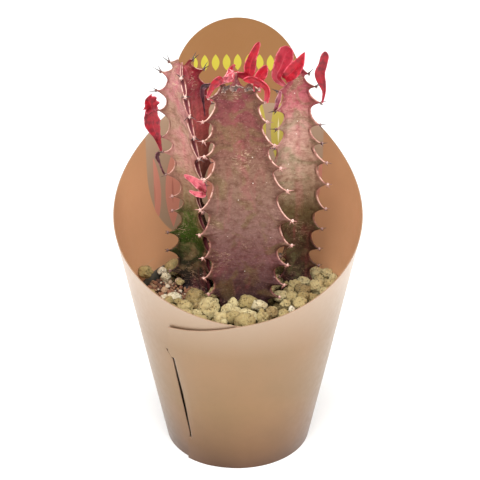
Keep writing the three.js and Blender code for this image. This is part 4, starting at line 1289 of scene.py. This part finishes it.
def add_stem_body(bm, spec):
    rings = stem_rings(spec)
    knots = [section_knots(spec, height) for height, _ in rings]
    marks = skin_marks(spec)

    def place(column, row):
        height, share = rings[row]
        axis = Vector((along(spec["axis"], height), along(spec["axis"], height, 2), height))
        point = section_point(knots[row], column)
        if share < 1:
            middle = UP * -crown_dip(spec, height, 0)
            return axis + middle.lerp(point, share)
        ripple = sum(depth * noise.noise((axis + point) * fineness) for depth, fineness in RIPPLES)
        return axis + point + Vector((point.x, point.y, 0)) * ripple / max(3, point.length)

    def mark_at(column, which):
        span, share = COLUMNS[column]
        return mix(marks[span % SPANS][which], marks[(span + 1) % SPANS][which], share)

    def pale_line(column, row):
        height, share = rings[row]
        if share < 1:
            return 0
        rib = min(RIBS - 1, COLUMNS[column][0] * RIBS // SPANS)
        _, way = scallop(spec["teeth"][rib], height)
        under = mix(0.35, 0.9, spec["hollow"][rib][1])
        strength = mix(1, under, smooth((way - 0.45) / 0.3)) * along(spec["line"], height)
        return mark_at(column, 0) * strength * smooth((height - GROUND - 5) / 6)

    # The face that looks left takes the lit colours; the others take darker ones that are partly painted
    # shade.
    def left_face(column, _):
        span = COLUMNS[column][0] / SPANS * RIBS  # each rib's section starts half a face early
        return 1 if span < 0.5 or span >= RIBS - 0.5 else 0

    add_grid(
        bm, len(COLUMNS) - 1, len(rings) - 1, place,
        edge=pale_line, groove=lambda column, row: mark_at(column, 1) * (rings[row][1] == 1),
        across=lambda column, row: mark_at(column, 2), left_face=left_face,
    )
    bmesh.ops.remove_doubles(bm, verts=bm.verts, dist=0.001 * MM)
    bmesh.ops.recalc_face_normals(bm, faces=bm.faces)


def tooth_tip(spec, rib, height):
    azimuth = rib_azimuth(spec, rib, height)
    _, tip, _ = rib_reach(spec, rib, height)
    axis = Vector((along(spec["axis"], height), along(spec["axis"], height, 2), height))
    return axis + outwards(azimuth) * tip, outwards(azimuth)


def add_spine(bm, root, aim, length, droop, age, stout=SPINE["root"]):
    """A thorn that is stout at its root, hollow-sided and a little bent."""
    turn = UP.rotation_difference(aim).to_matrix()
    radii = [0, stout, 0.66 * stout, 0.44 * stout, 0.26 * stout, SPINE["tip"], 0]
    reaches = [0, 0, 0.22, 0.5, 0.8, 1, 1]

    def place(column, row):
        around = outwards(FULL_TURN * column / SPINE["sides"]) * radii[row]
        bend = UP * droop * reaches[row] ** 2
        return root + turn @ (around + UP * length * reaches[row]) + bend

    made = add_grid(
        bm, SPINE["sides"], len(radii) - 1, place,
        reach=lambda column, row: reaches[row], age=lambda column, row: age,
    )
    faces = faces_of(made)
    bmesh.ops.remove_doubles(bm, verts=made, dist=0.001 * MM)
    for face in faces:
        if face.is_valid:
            face.material_index = 1


def add_tooth_pad(bm, tip, ahead, age, size):
    """The horny pad on a tooth that its spines stand on, with a ragged star of an edge."""
    made = bmesh.ops.create_icosphere(bm, subdivisions=3, radius=1)["verts"]
    turn = Vector((1, 0, 0)).rotation_difference(ahead).to_matrix()
    mark = bm.verts.layers.float["age"]
    for vert in made:
        spoke = math.atan2(vert.co.z, vert.co.y)
        rim = math.hypot(vert.co.y, vert.co.z)
        star = 1 + rim * (0.3 * math.cos(5 * spoke + tip.z) + 0.35 * noise.noise(vert.co * 2 + tip))
        local = Vector((vert.co.x * 0.7, vert.co.y * 0.75 * star, vert.co.z * star)) * size
        vert.co = (tip - ahead * 0.45 + turn @ local) * MM
        vert[mark] = age
    for face in faces_of(made):
        face.material_index = 2


def add_spine_pair(bm, tip, ahead, lift, reach, age, draw):
    """Two spines that stand out of a tooth to either side."""
    for side in (-1, 1):
        swing = SPINE["spread"] * draw.uniform(0.8, 1.25)
        aim = Quaternion(UP, math.radians(side * swing)) @ ahead + UP * (lift + draw.uniform(-0.12, 0.2))
        length = reach * draw.uniform(0.85, 1.1) + SPINE["sunk"]
        root = tip - ahead * SPINE["sunk"]
        add_spine(bm, root, aim.normalized(), length, draw.uniform(-0.3, 0.5), age)


def add_whisker(bm, tip, ahead, draw):
    """A thin pale spine that points down from the underside of a tooth."""
    sideways = ahead.cross(UP) * draw.uniform(-0.5, 0.5)
    aim = (ahead * draw.uniform(-0.9, 0.1) - UP + sideways).normalized()
    root = tip - ahead * draw.uniform(0.6, 1.6) - UP * 0.3
    length = draw.uniform(*WHISKER["length"])
    add_spine(bm, root, aim, length, draw.uniform(-0.4, 0.6), WHISKER["age"], WHISKER["root"])


def add_teeth(bm, spec, draw):
    for name in ("reach", "age"):
        bm.verts.layers.float.new(name)
    for rib, row in enumerate(spec["teeth"]):
        grooved = crest_of(spec, rib) is GROOVED_CREST
        for height in row:
            tip, ahead = tooth_tip(spec, rib, height)
            age = min(1, max(0, along(spec["age"], height) + draw.uniform(-0.15, 0.15)))
            pad_age, pad_size = (0.15, 1.1) if grooved else (0.8 * age, 0.8)
            if height > GROUND + 10:
                add_tooth_pad(bm, tip, ahead, pad_age, pad_size)
            if height < POT["height"] + 5:  # among the stones
                continue
            lift = mix(-0.15, 0.8, smooth((height - spec["top"] + 22) / 20))  # upwards near the crown
            add_spine_pair(bm, tip, ahead, lift, along(spec["spines"], height), age, draw)
            if height < WHISKER["below"]:
                for _ in range(spec["whiskers"]):
                    add_whisker(bm, tip, ahead, draw)


def make_stem(name, skin):
    spec = STEMS[name]
    bm = bmesh.new()
    add_stem_body(bm, spec)
    add_teeth(bm, spec, random.Random(name))
    return add_piece(f"ribbed_stem_{name}", bm, [skin, SPINE_HORN, TOOTH_HORN], "stem", f"stem_{name}")


# ---------------------------------------------------------------- leaves

def add_blade(bm, leaf):
    """A leaf's sheet, with its places and widths taken as smooth lines from its root on a rib to its tip."""
    if "root" in leaf:
        root = Vector(leaf["root"])
    else:
        stem, rib, height = leaf["on"]
        tip, ahead = tooth_tip(STEMS[stem], rib, height)
        root = tip + ahead * 0.1 + UP * 0.2
    line = [root] + [Vector(place) for place in leaf["through"]]
    face = Vector(leaf["face"]).normalized()
    ragged, wave, waves = (leaf.get(key, PLAIN_BLADE[key]) for key in ("ragged", "wave", "waves"))
    across, lengthwise = BLADE["columns"], BLADE["rows"]
    seed = leaf["through"][0][2]

    def half_width(share, x):
        into_tip = max(0, share - BLADE["round_from"]) / (1 - BLADE["round_from"])
        rounding = math.sqrt(max(0.03, 1 - into_tip ** 2))
        torn = 1 + ragged * noise.noise(Vector((7 * share, 3 * math.copysign(1, x), seed)))
        return max(BLADE["least_width"], spline(leaf["widths"], share)) / 2 * rounding * torn

    def place(column, row):
        share, x = row / lengthwise, 2 * column / across - 1
        spot = spline(line, share)
        forward = (spline(line, min(1, share + 0.01)) - spline(line, max(0, share - 0.01))).normalized()
        side = face.cross(forward).normalized()
        side.rotate(Quaternion(forward, math.radians(leaf["twist"] * share)))
        normal = forward.cross(side).normalized()
        half = half_width(share, x)
        fold = 2 * BLADE["cup"] * half * abs(x) ** 1.4 - 0.15 * (1 - abs(x))
        ruffle = wave * math.sin(2 * math.pi * waves * share + x) * x * x * min(1, half / 2)
        return spot + side * (x * half) + normal * (fold + ruffle)

    return add_grid(
        bm, across, lengthwise, place,
        blade_across=lambda column, row: 2 * column / across - 1,
        blade_length=lambda column, row: row / lengthwise,
    )


def make_leaf(name, leaf, skin, slot):
    """A leaf with its folds, all in one piece."""
    bm = bmesh.new()
    add_blade(bm, leaf)
    for fold in FOLDS.get(name, []):
        blade = add_blade(bm, fold)
        for face in faces_of(blade):
            face.material_index = 1 if fold.get("dry") else 0
    bmesh.ops.recalc_face_normals(bm, faces=bm.faces)
    made = add_piece(name.replace("leaf", "blade"), bm, [skin, DRIED], slot, name)
    thick = made.modifiers.new("thickness", "SOLIDIFY")
    thick.thickness = BLADE["thickness"] * MM
    thick.offset = 0
    soft = made.modifiers.new("soft_edge", "SUBSURF")
    soft.levels = soft.render_levels = 1
    return made


# ---------------------------------------------------------------- camera, light and floor

def add_camera():
    data = bpy.data.cameras.new("camera")
    data.lens = CAMERA["lens"]
    data.sensor_width = CAMERA["sensor"]
    data.clip_start = 0.01
    camera = bpy.data.objects.new("camera", data)
    camera.location = Vector(CAMERA["place"]) * MM
    camera.rotation_euler = (math.radians(90 - CAMERA["pitch"]), 0, 0)
    bpy.context.scene.collection.objects.link(camera)
    bpy.context.scene.camera = camera


def add_softbox(name, place, size, power):
    data = bpy.data.lights.new(name, "AREA")
    data.shape = "RECTANGLE"
    data.size, data.size_y = size
    data.energy = power
    lamp = bpy.data.objects.new(name, data)
    lamp.location = place
    aim = UP * LIT_HEIGHT * MM - Vector(place)
    lamp.rotation_euler = aim.to_track_quat("-Z", "Y").to_euler()
    bpy.context.scene.collection.objects.link(lamp)


def add_floor():
    bm = bmesh.new()
    bmesh.ops.create_circle(bm, cap_ends=True, segments=96, radius=3)
    mesh = bpy.data.meshes.new("floor")
    bm.to_mesh(mesh)
    bm.free()
    finish = Finish("pale_floor", Roughness=0.9)
    mesh.materials.append(finish.done(finish.tint(finish.noise(60, 2), "f4f4f3", "f8f8f7")))
    floor = bpy.data.objects.new("floor", mesh)
    bpy.context.scene.collection.objects.link(floor)


def add_sky():
    world = bpy.data.worlds.new("studio")
    world.use_nodes = True
    back = world.node_tree.nodes["Background"]
    back.inputs["Color"].default_value = (1, 1, 1, 1)
    back.inputs["Strength"].default_value = SKY
    bpy.context.scene.world = world


# ---------------------------------------------------------------- the object

add_camera()
add_floor()
add_sky()
for lamp_name, lamp in SOFTBOXES.items():
    add_softbox(lamp_name, *lamp)
bpy.context.scene.view_settings.view_transform = "Standard"

SPINE_HORN = spine_horn()
TOOTH_HORN = tooth_horn()

make_sleeve()
make_pot()
make_pumice()
make_grit()

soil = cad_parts["soil"]  # kept as it is, with a finish of its own
soil.data.materials.clear()
soil.data.materials.append(potting_soil())

# Colours up each stem, on the face that looks left and on the other two, darker partly as painted shade,
# those of its rosy streaks and its mottles, and the x from which on painted shade darkens its skin.
STEM_SKINS = {
    "front": (
        [
            (74, "432d30"), (88, "573d3f"), (104, "80595a"), (120, "84625a"), (150, "80604e"),
            (172, "77423c"), (192, "77353a"),
        ],
        [(72, "3c2a2c"), (100, "5e3c40"), (150, "7c3e44"), (195, "803238")],
        "a84a58", "74623e", NOWHERE,
    ),
    "left": (
        [
            (76, "2c2426"), (90, "2a2c1c"), (104, "2e480a"), (117, "44561e"), (127, "927c5e"),
            (150, "b8867a"), (196, "a8686a"),
        ],
        [
            (76, "2a2628"), (108, "3e3a26"), (126, "66403a"), (148, "b66c5c"), (170, "dc6466"),
            (184, "922c3a"), (196, "841626"),
        ],
        "c46a72", "94805e", NOWHERE,
    ),
    "right": (
        [
            (76, "402c30"), (92, "4c382c"), (108, "604c36"), (120, "786845"), (140, "ba9c84"),
            (166, "d2a498"), (180, "be686e"), (194, "a84056"),
        ],
        [(76, "332430"), (110, "553a34"), (150, "7c4a44"), (195, "8c3a44")],
        "bc5a68", "80845a", 29,
    ),
}
for stem_name, tones in STEM_SKINS.items():
    make_stem(stem_name, stem_skin(f"skin_{stem_name}", *tones))

CRIMSON = leaf_skin("crimson_leaf", "a80820", "800818", "e05a6c", "c83c4a")
ROSY = leaf_skin("rosy_leaf", "ac2436", "8e1828", "e07880", "d06870")
DEEP = leaf_skin("deep_crimson_leaf", "960a1e", "640a18", "cc5062", "b43442")
PINK = leaf_skin("pink_leaf", "d46670", "a03444", "f0a8a8", "eab0a8")
WITHERED = leaf_skin("withered_leaf", "562a34", "2c161c", "9a6468", "7a4a4e")
MAUVE = leaf_skin("mauve_leaf", "a0505e", "6a2c38", "dcb0aa", "c0848a")
DRIED = leaf_skin("dried_leaf", "6e5048", "362420", "b09484", "8c6c60")
LEAF_SKINS = {
    "leaf_left_dried": (WITHERED, "leaf_withered"), "leaf_left_withered": (WITHERED, "leaf_withered"),
    "leaf_right_hanging": (MAUVE, "leaf_withered"), "leaf_left_pink": (PINK, "leaf_pink"),
    "leaf_front_bud": (PINK, "leaf_crimson"), "leaf_right_broad": (ROSY, "leaf_crimson"),
    "leaf_left_tall": (DEEP, "leaf_crimson"), "leaf_front_left": (DEEP, "leaf_crimson"),
    "leaf_right_twisted": (DEEP, "leaf_crimson"),
}
for leaf_name, leaf in LEAVES.items():
    make_leaf(leaf_name, leaf, *LEAF_SKINS.get(leaf_name, (CRIMSON, "leaf_crimson")))
